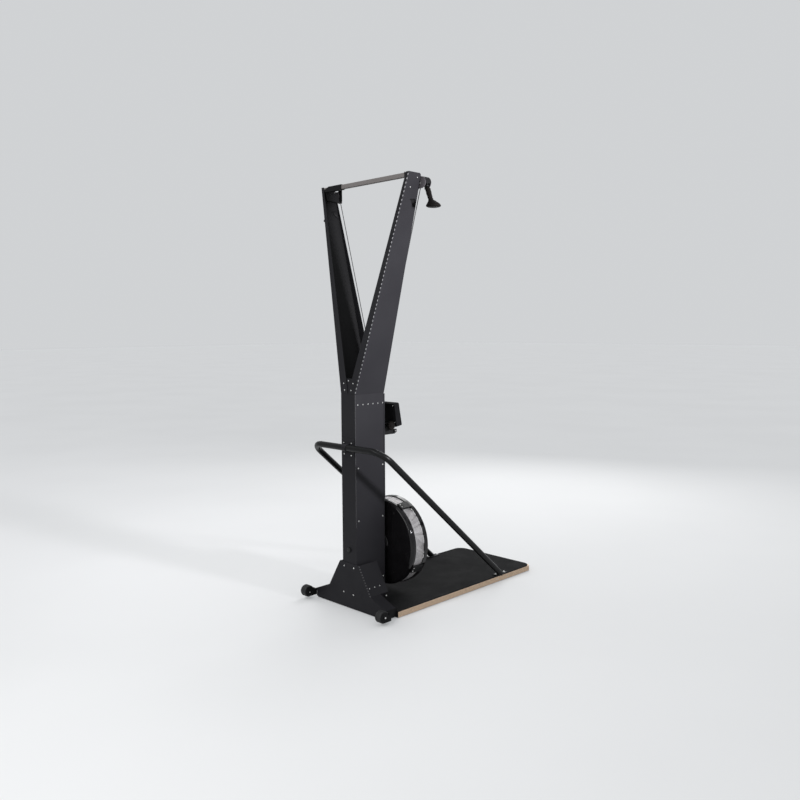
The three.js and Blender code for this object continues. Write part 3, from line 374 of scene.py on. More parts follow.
strip_rubber = moulding("strip_rubber", (0.018, 0.018, 0.018), (0.7, 0.85), 500.0, 0.6, shine=0.2)
button_rubber = moulding("button_rubber", (0.16, 0.16, 0.17), (0.5, 0.62), 900.0, 0.3)
print("mouldings ready; their texture is", MOULD_DEPTH / MM, "mm deep")

# %% [markdown]
# Bolts and rivets are zinc plated, the shaft is turned steel with fine rings, and the
# band round the fan is bright sheet. Bare metal has little colour of its own, so what
# tells these apart is how sharply they reflect and which way the fine scratches run.
# Stretching one noise along a direction gives scratches without drawing any of them.

# %% Bare metal
METAL_SHADE, METAL_CLOUDS, METAL_PATCHES = 0.82, 30.0, 40.0
SCRATCHES, SCRATCH_STRENGTH, SCRATCH_DEPTH = 60.0, 0.15, 0.0002


def bare_metal(name, colour, rough, stretch):
    """Bright metal with fine scratches; stretch makes them finer in each direction."""
    finish = new_finish(name, colour, rough[1], metallic=1.0)
    where = place_of(finish)
    scratched = stretched(finish, where, stretch)
    into(finish, shade(finish, where, darker(colour, METAL_SHADE), colour, METAL_CLOUDS), "Base Color")
    gloss_range(finish, scratched, rough, METAL_PATCHES)
    grain(finish, fine_noise(finish, scratched, SCRATCHES), SCRATCH_STRENGTH, SCRATCH_DEPTH)
    return finish


zinc = bare_metal("zinc_plate", (0.72, 0.72, 0.71), (0.22, 0.36), (8, 8, 8))
turned_steel = bare_metal("turned_steel", (0.55, 0.55, 0.54), (0.25, 0.38), (1, 60, 1))
guard_steel = bare_metal("guard_steel", (0.52, 0.505, 0.51), (0.5, 0.6), (20, 20, 20))
print("metals:", ", ".join(metal.name for metal in (zinc, turned_steel, guard_steel)))

# %% [markdown]
# The platform's edge shows its plies: thin sheets of pale wood, every second one end
# grain and a little darker, with a dark line of glue between them. A picture of plywood
# could be laid on, but it would have to fit every edge. Here height alone tells which ply
# a point lies in, so the plies run round the board unbroken. The broad faces show long
# grain instead, and the way a face looks decides which of the two patterns it gets.

# %% Plywood
BOARD_LOW, BOARD_HIGH = (corner.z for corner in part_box("platform_board"))
PLIES = 9
PLY_LIGHT = (0.94, 0.75, 0.57)
PLY_DARK = (0.84, 0.62, 0.44)
PLY_GLUE = (0.60, 0.40, 0.26)
GLUE_SHARE = 0.04  # of two plies' height
WAVER_SHARE = 0.35  # how far a ply wanders, of its own height
END_PORES, LONG_GRAIN = (30, 30, 4), (40, 2, 1)
PORE_DARK, PORE_PALE = (0.72, 0.68, 0.64), (1.12, 1.08, 1.05)
PORE_STRENGTH, PORE_DEPTH = 0.3, 0.0004


def plies(finish, where):
    """The plies by height: pale, glue, dark, glue, over and over."""
    height = node(finish, "ShaderNodeSeparateXYZ", Vector=where).outputs["Z"]
    thickness = (BOARD_HIGH - BOARD_LOW) / PLIES
    waver = fine_noise(finish, where, 18.0)
    shifted = arithmetic(finish, "MULTIPLY_ADD", waver, thickness * WAVER_SHARE, height)
    phase = arithmetic(finish, "FRACT", arithmetic(finish, "DIVIDE", shifted, thickness * 2))
    ramp = node(finish, "ShaderNodeValToRGB", Fac=phase)
    ramp.color_ramp.interpolation = "CONSTANT"
    stops = ramp.color_ramp.elements
    stops[0].color = (*PLY_LIGHT, 1)
    stops[1].position = 0.5 - GLUE_SHARE
    stops[1].color = (*PLY_GLUE, 1)
    for position, colour in ((0.5, PLY_DARK), (1 - GLUE_SHARE, PLY_GLUE)):
        stops.new(position).color = (*colour, 1)
    return ramp.outputs["Color"]


def plywood():
    """Plies on the edges, long grain on the broad faces."""
    finish = new_finish("plywood", PLY_LIGHT, 0.6)
    where = place_of(finish)
    pores = stretched(finish, where, END_PORES)
    fleck = shade(finish, pores, PORE_DARK, PORE_PALE, 30.0, 5.0)
    edge = blended(finish, "MULTIPLY", 1.0, plies(finish, where), fleck)
    face = shade(finish, stretched(finish, where, LONG_GRAIN), PLY_DARK, PLY_LIGHT, 3.0, 6.0)
    normal = node(finish, "ShaderNodeNewGeometry").outputs["Normal"]
    facing = node(finish, "ShaderNodeSeparateXYZ", Vector=normal).outputs["Z"]
    level = arithmetic(finish, "ABSOLUTE", facing)
    into(finish, blended(finish, "MIX", level, edge, face), "Base Color")
    grain(finish, fine_noise(finish, pores, 30.0, 4.0), PORE_STRENGTH, PORE_DEPTH)
    return finish


wood = plywood()
print("plies of", round((BOARD_HIGH - BOARD_LOW) / PLIES / MM, 2), "mm")

# %% [markdown]
# The mat has a fine pebble embossed in it, which scatters the light and keeps shoes from
# sliding. Round cells with a peak in each are what Voronoi noise gives. Cords are
# braided: two sets of strands that cross make small diamonds. Modelling each strand would
# take far too many faces at this size, so two crossing waves of height stand for them.

# %% Mat and cord
PEBBLES, PEBBLE_STRENGTH, PEBBLE_DEPTH = 330.0, 0.55, 0.0008
STRAND_TURN = 0.8
BRAID_STRENGTH, BRAID_DEPTH = 0.6, 0.0006


def mat_finish():
    """Black rubber sheet with an embossed pebble."""
    finish = new_finish("mat_rubber", (0.014, 0.014, 0.015), 0.9, shine=0.05)
    where = place_of(finish)
    into(finish, shade(finish, where, (0.0125, 0.0125, 0.013), (0.0165, 0.0165, 0.017), 5.0), "Base Color")
    pebble = node(finish, "ShaderNodeTexVoronoi", Vector=where, Scale=PEBBLES).outputs["Distance"]
    grain(finish, pebble, PEBBLE_STRENGTH, PEBBLE_DEPTH)
    gloss_range(finish, where, (0.72, 0.9), 9.0)
    return finish


def cord_finish(name, colour, strands):
    """Braid: two crossing wave patterns as height, with painted shade where a strand dips."""
    finish = new_finish(name, colour, 0.75)
    where = place_of(finish)
    waves = []
    for turn in (STRAND_TURN, -STRAND_TURN):
        slanting = node(finish, "ShaderNodeMapping", Vector=where, Rotation=(0, turn, 0)).outputs["Vector"]
        wave = node(finish, "ShaderNodeTexWave", {"bands_direction": "Z"}, Vector=slanting, Scale=strands)
        waves.append(wave.outputs["Fac"])
    braid = arithmetic(finish, "MAXIMUM", *waves)
    # Painted shade: the colour darkens where a strand dips.
    ramp = node(finish, "ShaderNodeValToRGB", Fac=braid)
    for stop, shown in zip(ramp.color_ramp.elements, (darker(colour, 0.5), colour)):
        stop.color = (*shown, 1)
    into(finish, ramp.outputs["Color"], "Base Color")
    grain(finish, braid, BRAID_STRENGTH, BRAID_DEPTH)
    return finish


mat_rubber = mat_finish()
cord_braid = cord_finish("cord_braid", (0.040, 0.040, 0.041), 170.0)
bungee_braid = cord_finish("bungee_braid", (0.026, 0.026, 0.027), 120.0)
print("soft finishes:", mat_rubber.name, cord_braid.name, bungee_braid.name)

# %% [markdown]
# The floor is a plain pale sheet that carries the machine's shadow, with the slightest
# unevenness of shade and gloss, as a painted studio floor has. A white floor would throw
# light back up at the machine and wash out its black coats. So it throws back little, and
# Light Path gives the eye and every mirror the rest of its paleness.

# %% Floor
FLOOR_HALF = 60.0
FLOOR_GREY = 0.45
FLOOR_SEEN, FLOOR_BOUNCE = 0.62, 0.12
FLOOR_PALENESS = WORLD_SEEN - FLOOR_SEEN * WORLD_LEVEL


def floor_finish():
    """Pale floor: a grey that takes the shadow, and the rest of its paleness as it is seen."""
    finish = new_finish("studio_floor", (FLOOR_GREY, FLOOR_GREY, FLOOR_GREY), 0.8, shine=0.1)
    where = place_of(finish)
    patches = shade(finish, where, (0.97, 0.97, 0.97), (1.0, 1.0, 1.0), 0.7)
    level = seen_directly(finish, FLOOR_BOUNCE, FLOOR_SEEN)
    into(finish, blended(finish, "MULTIPLY", 1.0, patches, level), "Base Color")
    gloss_range(finish, where, (0.75, 0.85), 1.5)
    into(finish, seen_directly(finish, 0.0, FLOOR_PALENESS), "Emission Strength")
    into(finish, WORLD_TINT, "Emission Color")
    return finish


def link(name, mesh):
    """Puts a mesh into the scene as an object of its own."""
    piece = bpy.data.objects.new(name, mesh)
    bpy.context.collection.objects.link(piece)
    return piece


floor_mesh = bpy.data.meshes.new("studio_floor")
floor_corners = [(x * FLOOR_HALF, y * FLOOR_HALF, 0) for x, y in ((-1, -1), (1, -1), (1, 1), (-1, 1))]
floor_mesh.from_pydata(floor_corners, [], [(0, 1, 2, 3)])
floor_mesh.materials.append(floor_finish())
link("studio_floor", floor_mesh)
print("floor:", 2 * FLOOR_HALF, "m square")

# %% [markdown]
# Real sheet metal has no razor edges: folds have a radius about as large as the sheet is
# thick, and cut edges are dulled by the coat. A solid from a drawing has neither, so each
# one is copied, its triangles are joined into whole faces, and its edges are rounded. A
# bevel that goes by angle alone would round folds and cuts alike, so each edge gets a
# weight of its own: wide where both faces beside it are wide, slight elsewhere.

# %% Round the edges of a solid
WELD = 0.00001
SAME_PLANE = math.radians(0.8)
SHARP = math.radians(25)
BEVEL_STEPS = 3


def rounded(name, finish, fold=2.4, cut=0.5, fold_width=8.0, crease=SHARP):
    """A copy of a node with rounded edges, which stands for the node.
    An edge counts as a fold when both its faces are wider than fold_width millimetres."""
    form = bmesh.new()
    form.from_mesh(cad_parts[name].data)
    bmesh.ops.remove_doubles(form, verts=form.verts, dist=WELD)
    bmesh.ops.dissolve_limit(form, angle_limit=SAME_PLANE, verts=form.verts, edges=form.edges)
    weight = form.edges.layers.float.new("bevel_weight_edge")
    widest = max(fold, cut)
    for edge in form.edges:
        if len(edge.link_faces) != 2 or edge.calc_face_angle(0) < crease:
            continue
        length = edge.calc_length()
        narrowest = min(face.calc_area() / length for face in edge.link_faces)
        edge[weight] = (fold if narrowest > fold_width * MM else cut) / widest
    piece = object_from(f"{name}_finished", form, finish)
    bevel = piece.modifiers.new("round edges", "BEVEL")
    bevel.limit_method = "WEIGHT"
    bevel.width = widest * MM
    bevel.segments = BEVEL_STEPS
    bevel.use_clamp_overlap = True
    even = piece.modifiers.new("even shading", "WEIGHTED_NORMAL")
    even.keep_sharp = True
    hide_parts(name)
    return piece


def object_from(name, form, finish, crease=SHARP):
    """Turns a bmesh into an object, smooth except at sharp edges."""
    bmesh.ops.recalc_face_normals(form, faces=form.faces)
    mesh = bpy.data.meshes.new(name)
    form.to_mesh(mesh)
    form.free()
    mesh.materials.append(finish)
    mesh.polygons.foreach_set("use_smooth", [True] * len(mesh.polygons))
    mesh.set_sharp_from_angle(angle=crease)
    return link(name, mesh)


print("edges over", round(math.degrees(SHARP)), "degrees are rounded in", BEVEL_STEPS, "steps")


# %% [markdown]
# Some pieces need an opening that their solid doesn't have. It could be built into the
# mesh by hand, corner by corner. A cutter of the opening's shape is quicker and cleaner:
# it is taken away from the piece, all modifiers are worked into one final mesh, and the
# cutter is thrown away again.

# %% Cut an opening


def cut_away(piece, cutter_form):
    """Takes the cutter's volume out of a piece and keeps the result as its mesh."""
    cutter = object_from(f"{piece.name}_cutter", cutter_form, piece.data.materials[0])
    opening = piece.modifiers.new("opening", "BOOLEAN")
    opening.operation = "DIFFERENCE"
    opening.object = cutter
    shading = piece.modifiers.find("even shading")
    if shading >= 0:
        piece.modifiers.move(len(piece.modifiers) - 1, shading)
    depsgraph = bpy.context.evaluated_depsgraph_get()
    final = bpy.data.meshes.new_from_object(piece.evaluated_get(depsgraph), depsgraph=depsgraph)
    piece.modifiers.clear()
    piece.data = final
    bpy.data.objects.remove(cutter)


print("cutter ready")

# %% [markdown]
# The column, its cover, the base and the brackets are all folded sheet, so they share one
# treatment. Their solids have the right shape already, and modelling them anew would only
# risk gaps at the joints. The list gives each its coat, the radius of its folds and the
# radius of its cut edges, in millimetres.

# %% Folded sheet
SHEET_PARTS = {
    "column_shell": (frame_coat, 3.2, 0.5),
    "column_front_cover": (frame_coat, 2.0, 0.5),
    "junction_sleeve": (frame_coat, 2.0, 0.5),
    "base_plate": (frame_coat, 0.8, 0.5),
    "base_gusset": (frame_coat, 2.6, 0.6),
    "left_wheel_fork": (dark_coat_and_shade, 0.8, 0.4),
    "right_wheel_fork": (dark_coat_and_shade, 0.8, 0.4),
    "brace_clamp": (frame_coat, 1.2, 0.4),
    "monitor_bracket": (dark_coat_and_shade, 1.2, 0.5),
}
for name, (finish, fold, cut) in SHEET_PARTS.items():
    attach(rounded(name, finish, fold, cut), "frame")
cross_bar = rounded("cross_bar", bar_coat, 1.5, 1.0)
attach(cross_bar, "frame")
print("sheet parts:", len(SHEET_PARTS) + 1)

# %% [markdown]
# Each arm is a tapering channel that leans outward. Where the cord comes up inside it,
# a pocket is pressed into its side near the front edge, so the side gets an opening with
# a shallow cup behind it, whose darker coat paints its shade. The cup is a stack of the
# opening's own outline, a little smaller at each depth, so cup and opening always fit.
# Faces that look into the channel get the darker coat too, as painted shade inside it.

# %% Arms
ARM_TOP_REACH, _, ARM_TOP = corners_of("left_arm")[1]
ARM_FOOT_REACH = COLUMN_HALF
ARM_LEAN = 113
PORT = [(-150, 2036), (-186, 2041), (-192, 2036), (-193, 2008), (-188, 2001), (-181, 2003)]
PORT_LEVELS = ((1.2, 1.0), (3.0, 0.98), (6.5, 0.86), (9, 0.55))  # depth, and share of the port's size
PORT_CUT = (-4, 8)  # from in front of the arm's face to behind it
CUP_SHEET = 0.8
INWARD = -0.9  # how far a face of the channel looks in, at least


def arm_reach(height):
    """How far the arm's outer face is from the middle at a height."""
    return ARM_FOOT_REACH + (ARM_TOP_REACH - ARM_FOOT_REACH) * (height - COLUMN_TOP) / (ARM_TOP - COLUMN_TOP)


def arm_rear(height):
    """Where the arm's leaning rear edge is at a height."""
    return -ARM_LEAN * (height - COLUMN_TOP) / (ARM_TOP - COLUMN_TOP)


def port_ring(form, sign, inset, shrink):
    """The port's outline at a depth under the arm's outer face."""
    middle = [sum(point[k] for point in PORT) / len(PORT) for k in (0, 1)]
    ring = []
    for along, height in PORT:
        along, height = (middle[k] + (value - middle[k]) * shrink for k, value in enumerate((along, height)))
        ring.append(form.verts.new(spot(sign * (arm_reach(height) - inset), along, height)))
    return ring


def skin(form, rings, close_first, close_last):
    """Joins rings of equally many points, and closes the ends that are asked for."""
    for low, high in zip(rings, rings[1:]):
        for k in range(len(low)):
            form.faces.new((low[k], low[(k + 1) % len(low)], high[(k + 1) % len(high)], high[k]))
    if close_first:
        form.faces.new(rings[0][::-1])
    if close_last:
        form.faces.new(rings[-1])


for side, sign in SIDES.items():
    arm = rounded(f"{side}_arm", frame_coat, 2.6, 0.5)
    cutter = bmesh.new()
    skin(cutter, [port_ring(cutter, sign, depth, 1) for depth in PORT_CUT], True, True)
    cut_away(arm, cutter)
    arm.data.materials.append(dark_coat_and_shade)
    # Inward faces get the darker coat: painted shade inside the channel.
    for face in arm.data.polygons:
        if face.normal.x * sign < INWARD:
            face.material_index = 1
    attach(arm, "frame")
    form = bmesh.new()
    skin(form, [port_ring(form, sign, inset, shrink) for inset, shrink in PORT_LEVELS], False, True)
    # The cup's darker coat paints the shade in the pocket.
    cup = object_from(f"{side}_arm_cord_port", form, dark_coat_and_shade, math.radians(60))
    thickness = cup.modifiers.new("pressed sheet", "SOLIDIFY")
    thickness.thickness = CUP_SHEET * MM
    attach(cup, "frame")
print("arm faces:", len(arm.data.polygons))

# %% [markdown]
# A round part is a profile spun about its axis, like work in a lathe. Blender can spin
# with its screw modifier too, but a helper that places the rings itself can turn about
# any axis and close at a point. Each profile is a list of radius and place along the axis
# in millimetres. Small radii come from the profile itself, so these parts need no bevel.

# %% Lathe
BOX_FACES = ((0, 1, 3, 2), (4, 6, 7, 5), (0, 4, 5, 1), (2, 3, 7, 6), (0, 2, 6, 4), (1, 5, 7, 3))


def circle_turns(steps):
    """The turns of evenly spaced points once round."""
    return [2 * math.pi * k / steps for k in range(steps)]


def turned(form, profile, centre, axis, steps, loop=False):
    """Spins a profile about an axis through centre and adds the skin to form."""
    axis = Vector(axis).normalized()
    side = UP if abs(axis.z) < 0.5 else Vector((1, 0, 0))
    side = (side - axis * side.dot(axis)).normalized()
    other = axis.cross(side)
    rings = []
    for radius, along in profile:
        heart = centre + axis * along * MM
        if radius == 0:
            rings.append([form.verts.new(heart)])
            continue
        rings.append([form.verts.new(heart + (side * math.cos(t) + other * math.sin(t)) * radius * MM)
                      for t in circle_turns(steps)])
    pairs = list(zip(rings, rings[1:])) + ([(rings[-1], rings[0])] if loop else [])
    for low, high in pairs:
        for k in range(steps):
            corners = [low[k % len(low)], low[(k + 1) % len(low)],
                       high[(k + 1) % len(high)], high[k % len(high)]]
            form.faces.new(list(dict.fromkeys(corners)))


def block(form, low, high, place=spot):
    """A box between two corners; place puts each of its corners into the scene."""
    points = [form.verts.new(place(*corner)) for corner in itertools.product(*zip(low, high))]
    for face in BOX_FACES:
        form.faces.new([points[k] for k in face])


def soften(piece, width):
    """Rounds every sharp edge of a piece by a width in millimetres."""
    bevel = piece.modifiers.new("soft edges", "BEVEL")
    bevel.width = width * MM
    bevel.segments = BEVEL_STEPS
    bevel.angle_limit = SHARP
    even = piece.modifiers.new("even shading", "WEIGHTED_NORMAL")
    even.keep_sharp = True
    return piece


print("lathe and box ready; a box has", len(BOX_FACES), "faces")

# %% [markdown]
# The rear dish is one glossy moulding. A round boss in its middle bears on the column,
# and the flat black face lies a little further in, where it mirrors the column's side.
# At its edge it turns over a tight radius with a thin bead, and that is where the light
# draws a bright arc: a bevel on a plain disc would give no bead, so the profile is turned
# with an arc for each radius. The cords come down behind it in a short channel.

# %% Drum: rear dish
DRUM_AXIS = Vector((0, 1, 0))
DRUM_HEART = spot(0, 0, DRUM_HEIGHT)
DRUM_STEPS = 160
(_, DISH_FRONT, _), (_, DISH_BACK, _) = corners_of("fan_rear_dish")
DISH_WALL = 2.5
BORE, BOSS, BOSS_FOOT = 8.6, 46, 51
BOSS_EDGE, BOSS_HOLLOW = 3, 6
FACE_BACK, FACE_RADIUS = -224.5, 160
RIM_RADIUS, RIM_TURN, BEAD_TURN = DRUM_RADIUS - 0.2, 12, 2.6
CHANNEL_HALF, CHANNEL_SHEET = 25, 3
CHANNEL_FRONT, CHANNEL_LOW, CHANNEL_HIGH = -226, 340, 530
MOUTH_FRONT, MOUTH_REAR, MOUTH_LOW, MOUTH_HIGH = -223.2, -201.4, 330, 370


def arc(centre, radius, start, end, steps):
    """Points round a centre in a profile or outline, from one turn to another in degrees."""
    turns = [math.radians(start + (end - start) * k / steps) for k in range(steps + 1)]
    return [(centre[0] + radius * math.cos(turn), centre[1] + radius * math.sin(turn)) for turn in turns]


bead_back = FACE_BACK - RIM_TURN - BEAD_TURN
outer = ([(BORE, DISH_BACK)]
         + arc((BOSS - BOSS_EDGE, DISH_BACK - BOSS_EDGE), BOSS_EDGE, 90, 10, 6)
         + arc((BOSS_FOOT, FACE_BACK + BOSS_HOLLOW), BOSS_HOLLOW, 190, 270, 6)
         + [(FACE_RADIUS, FACE_BACK)]
         + arc((RIM_RADIUS - BEAD_TURN - RIM_TURN, FACE_BACK - RIM_TURN), RIM_TURN, 90, 8, 9)
         + arc((RIM_RADIUS - BEAD_TURN, bead_back), BEAD_TURN, 60, 0, 5)
         + [(RIM_RADIUS, DISH_FRONT)])
inner = [(RIM_RADIUS - DISH_WALL, DISH_FRONT), (RIM_RADIUS - DISH_WALL, FACE_BACK - RIM_TURN - 4),
         (RIM_RADIUS - 19, FACE_BACK - DISH_WALL), (BOSS_FOOT - 3, FACE_BACK - DISH_WALL),
         (BOSS - 4, FACE_BACK), (BOSS - 4, DISH_BACK - DISH_WALL), (BORE, DISH_BACK - DISH_WALL)]
form = bmesh.new()
turned(form, outer + inner, DRUM_HEART, DRUM_AXIS, DRUM_STEPS, loop=True)
dish = object_from("drum_dish", form, polished, math.radians(32))
mouth = bmesh.new()
block(mouth, (-CHANNEL_HALF, MOUTH_FRONT, MOUTH_LOW), (CHANNEL_HALF, MOUTH_REAR, MOUTH_HIGH))
cut_away(dish, mouth)
form = bmesh.new()
for sign in SIDES.values():
    low, high = sorted((sign * CHANNEL_HALF, sign * (CHANNEL_HALF + CHANNEL_SHEET)))
    block(form, (low, CHANNEL_FRONT, CHANNEL_LOW), (high, DISH_BACK, CHANNEL_HIGH))
channel = soften(object_from("drum_cord_channel", form, satin), 0.8)
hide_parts("fan_rear_dish")
for piece in (dish, channel):
    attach(piece, "frame")
print("dish faces:", len(dish.data.polygons))

# %% [markdown]
# Air leaves the drum through a band of perforated sheet, whose holes lie in offset rows
# like a honeycomb. A see-through pattern in the finish would look right from afar, but
# has no edge that catches light and hides nothing behind it in shadow. So each hole is
# a ring of small faces, bent on to the drum, and a solidify modifier gives the sheet its
# thickness. One can then see the fan through real holes.

# %% Drum: perforated band
(_, BAND_FRONT, _), (BAND_RADIUS, BAND_REAR, _) = corners_of("fan_mesh_band")
BAND_SHEET = 1.2
HEM, HEM_PROUD, HEM_LAP_SHARE = 3.2, 0.3, 0.2
HOLES_ROUND, HOLE_ROWS, HOLE_SHARE = 256, 11, 0.5
CELL_CORNERS = ((0, 0.667), (0.5, 0.333), (0.5, -0.333), (0, -0.667), (-0.5, -0.333), (-0.5, 0.333))
CELL_WELD = 0.00004


def on_drum(turn, along):
    """A point on the band's skin."""
    return spot(BAND_RADIUS * math.cos(turn), along, DRUM_HEIGHT + BAND_RADIUS * math.sin(turn))


form = bmesh.new()
step = 2 * math.pi / HOLES_ROUND
row_height = (BAND_REAR - BAND_FRONT - 2 * HEM) / HOLE_ROWS
cell = [(across * step, above * row_height) for across, above in CELL_CORNERS]
sides = len(cell)
for row in range(HOLE_ROWS):
    middle = BAND_REAR - HEM - row_height * (row + 0.5)
    for k in range(HOLES_ROUND):
        turn = step * (k + 0.5 * (row % 2))
        ring = [form.verts.new(on_drum(turn + a, middle + b)) for a, b in cell]
        hole = [form.verts.new(on_drum(turn + a * HOLE_SHARE, middle + b * HOLE_SHARE)) for a, b in cell]
        for j in range(sides):
            form.faces.new((ring[j], ring[(j + 1) % sides], hole[(j + 1) % sides], hole[j]))
bmesh.ops.remove_doubles(form, verts=form.verts, dist=CELL_WELD)
band = object_from("drum_band", form, guard_steel, math.radians(60))
thickness = band.modifiers.new("sheet thickness", "SOLIDIFY")
thickness.thickness = BAND_SHEET * MM
thickness.offset = -1
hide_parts("fan_mesh_band")
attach(band, "frame")
form = bmesh.new()
hem_inner, hem_outer = BAND_RADIUS - BAND_SHEET - HEM_PROUD, BAND_RADIUS + HEM_PROUD
hem = HEM + row_height * HEM_LAP_SHARE
for start, finish_line in ((BAND_REAR, BAND_REAR - hem), (BAND_FRONT + hem, BAND_FRONT)):
    profile = [(hem_inner, start), (hem_outer, start), (hem_outer + HEM_PROUD, (start + finish_line) / 2),
               (hem_outer, finish_line), (hem_inner, finish_line)]
    turned(form, profile, DRUM_HEART, DRUM_AXIS, DRUM_STEPS, loop=True)
hems = object_from("drum_band_hems", form, guard_steel)
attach(hems, "frame")
print("holes:", HOLES_ROUND * HOLE_ROWS)

# %% [markdown]
# The front cover, the fan, its shaft and the bearings turn in each other with small
# clearances, so they keep the shape of their solids: a new mesh could only be less exact.
# They are rounded slightly and given their finishes. The list gives each its finish, its
# material slot, the body that it moves with and the radius of its edges.

# %% Drum: cover, fan and shaft
ROUND_PARTS = {
    "fan_front_cover": (polished, "gloss_black", "frame", 1.0),
    "fan_wheel": (satin, "black_plastic", "fan", 0.5),
    "fan_shaft": (turned_steel, "bright_steel", "fan", 0.6),
    "shaft_rear_bearing": (turned_steel, "bright_steel", "frame", 0.5),
    "shaft_front_bearing": (turned_steel, "bright_steel", "frame", 0.5),
    "guide_pin": (turned_steel, "bright_steel", "frame", 0.4),
    "bungee_anchor": (zinc, "bright_steel", "frame", 0.6),
    "left_spool": (satin, "black_plastic", "left_cord_spool", 0.3),
    "right_spool": (satin, "black_plastic", "right_cord_spool", 0.3),
    "left_guide_sheave": (satin, "black_plastic", "left_sheave", 0.3),
    "right_guide_sheave": (satin, "black_plastic", "right_sheave", 0.3),
    "left_pulley": (satin, "black_plastic", "left_pulley_wheel", 0.5),
    "right_pulley": (satin, "black_plastic", "right_pulley_wheel", 0.5),
    "shaft_end_cap": (satin, "black_plastic", "frame", 1.6),
    "damper_ring": (satin, "black_plastic", "damper", 0.8),
}
for name, (finish, slot, body, edge_radius) in ROUND_PARTS.items():
    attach(rounded(name, finish, edge_radius, edge_radius), body)
print("round parts:", len(ROUND_PARTS))

# %% [markdown]
# Four moulded clips bridge the band and hold the two halves of the drum together. Each
# one grips the dish with a foot, steps over the band and runs out over the front rim,
# where it is thicker. That shape is the same all along its width, so it is drawn once
# from the side, as height over the drum and place along the machine, and given its width.
# Two small screws hold each foot. Their helper serves every other screw of the machine.

# %% Drum: clips
CLIP_TURNS = (60, 120, 210, 330)
CLIP_HALF = 21
CLIP_SIDE = [(0.4, -245), (5.6, -244.6), (7.4, -247), (7.8, -262), (9.2, -268), (9.6, -296), (11, -303),
             (11, -314), (9.6, -317.4), (4.4, -317.8), (4.4, -309.4), (0.6, -307), (0.4, -258)]
CLIP_SCREW_RISE, CLIP_SCREW_ALONG, CLIP_SCREW_APART = 7.6, -254.5, 9
CLIP_HEAD = (3.6, 2.2)  # a head's radius and height
HEAD_SHARES = ((0, 0.35), (0.42, 0.35), (0.42, 1), (0.72, 0.93), (0.94, 0.55), (1, 0))
HEAD_SINK, HEAD_STEPS = 0.2, 18


def clip(name, out, wide):
    """One clip, drawn from the side and given its width."""
    shape = bmesh.new()
    cheeks = [[shape.verts.new(DRUM_HEART + (out * (DRUM_RADIUS + rise) + DRUM_AXIS * along
                                             + wide * side * CLIP_HALF) * MM)
               for rise, along in CLIP_SIDE] for side in (-1, 1)]
    skin(shape, cheeks, True, True)
    piece = soften(object_from(name, shape, satin), 1.0)
    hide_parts(name.replace("_body", ""))
    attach(piece, "frame")


def screw(form, place, outward, radius, height):
    """A domed head with a round socket, seated on a surface."""
    profile = [(radius * out, height * up) for out, up in HEAD_SHARES] + [(0, -HEAD_SINK)]
    turned(form, profile, place, outward, HEAD_STEPS)


form = bmesh.new()
for k, degrees in enumerate(CLIP_TURNS):
    turn = math.radians(degrees)
    out = Vector((math.cos(turn), 0, math.sin(turn)))
    wide = Vector((-math.sin(turn), 0, math.cos(turn)))
    clip(f"fan_clip_{k + 1}_body", out, wide)
    for side in (-CLIP_SCREW_APART, CLIP_SCREW_APART):
        place = out * (DRUM_RADIUS + CLIP_SCREW_RISE) + DRUM_AXIS * CLIP_SCREW_ALONG + wide * side
        screw(form, DRUM_HEART + place * MM, out, *CLIP_HEAD)
clip_screws = object_from("clip_screws", form, zinc)
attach(clip_screws, "frame")
print("clips:", len(CLIP_TURNS))

# %% [markdown]
# The brace is one steel tube bent twice. Blender's curve objects can carry a round
# profile too, but their ends and corners are harder to place exactly. Here a straight
# run, a bend and a cross piece are laid out as points, and rings of a circle are carried
# along them. The ring's own direction is passed on from point to point, so the tube
# doesn't twist.

# %% Brace tube
TUBE_RADIUS, TUBE_STEPS = 16, 32
BOARD_HALF = corners_of("platform_board")[1][0]
BRACE_INSET = 12
BRACE_HALF, BRACE_BEND, BEND_STEPS = BOARD_HALF - BRACE_INSET, 80, 14
BRACE_BACK, BRACE_HEIGHT = 19.6, 830
BRACE_FOOT, FOOT_TOP, FOOT_SINK = 905, 39.6, 3


def tube(form, points, radius, steps, closed_ends=True):
    """Carries a circle along points, keeping its twist as small as possible."""
    side = None
    rings = []
    for k, point in enumerate(points):
        ahead = (points[min(k + 1, len(points) - 1)] - points[max(k - 1, 0)]).normalized()
        if side is None:
            side = ahead.orthogonal()
        side = (side - ahead * side.dot(ahead)).normalized()
        other = ahead.cross(side)
        rings.append([form.verts.new(point + (side * math.cos(t) + other * math.sin(t)) * radius * MM)
                      for t in circle_turns(steps)])
    skin(form, rings, closed_ends, closed_ends)


brace_top = spot(0, BRACE_BACK, BRACE_HEIGHT)
brace_foot = spot(0, -BRACE_FOOT, FOOT_TOP - FOOT_SINK)
downward = (brace_foot - brace_top).normalized()
brace_line = []
for sign in (1, -1):
    leg = [Vector((sign * BRACE_HALF * MM, brace_foot.y, brace_foot.z))]
    for k in range(BEND_STEPS + 1):
        turn = k / BEND_STEPS * math.pi / 2
        across = BRACE_HALF - BRACE_BEND * (1 - math.cos(turn))
        bend_point = brace_top + downward * BRACE_BEND * MM * (1 - math.sin(turn))
        leg.append(Vector((sign * across * MM, bend_point.y, bend_point.z)))
    brace_line += leg if sign > 0 else leg[::-1]
form = bmesh.new()
tube(form, brace_line, TUBE_RADIUS, TUBE_STEPS)
brace = object_from("brace_bent_tube", form, brace_coat, math.radians(40))
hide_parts("brace_tube")
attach(brace, "frame")
print("brace points:", len(brace_line))

# %% [markdown]
# Each end of the tube is welded to a small foot plate, and the weld runs round it as a
# low collar. Where a slanting tube meets a level plate the joint is an ellipse, so the
# collar is the same tube helper carried round an ellipse, held back where the plate ends.
# Two bolts hold each plate down through the mat.

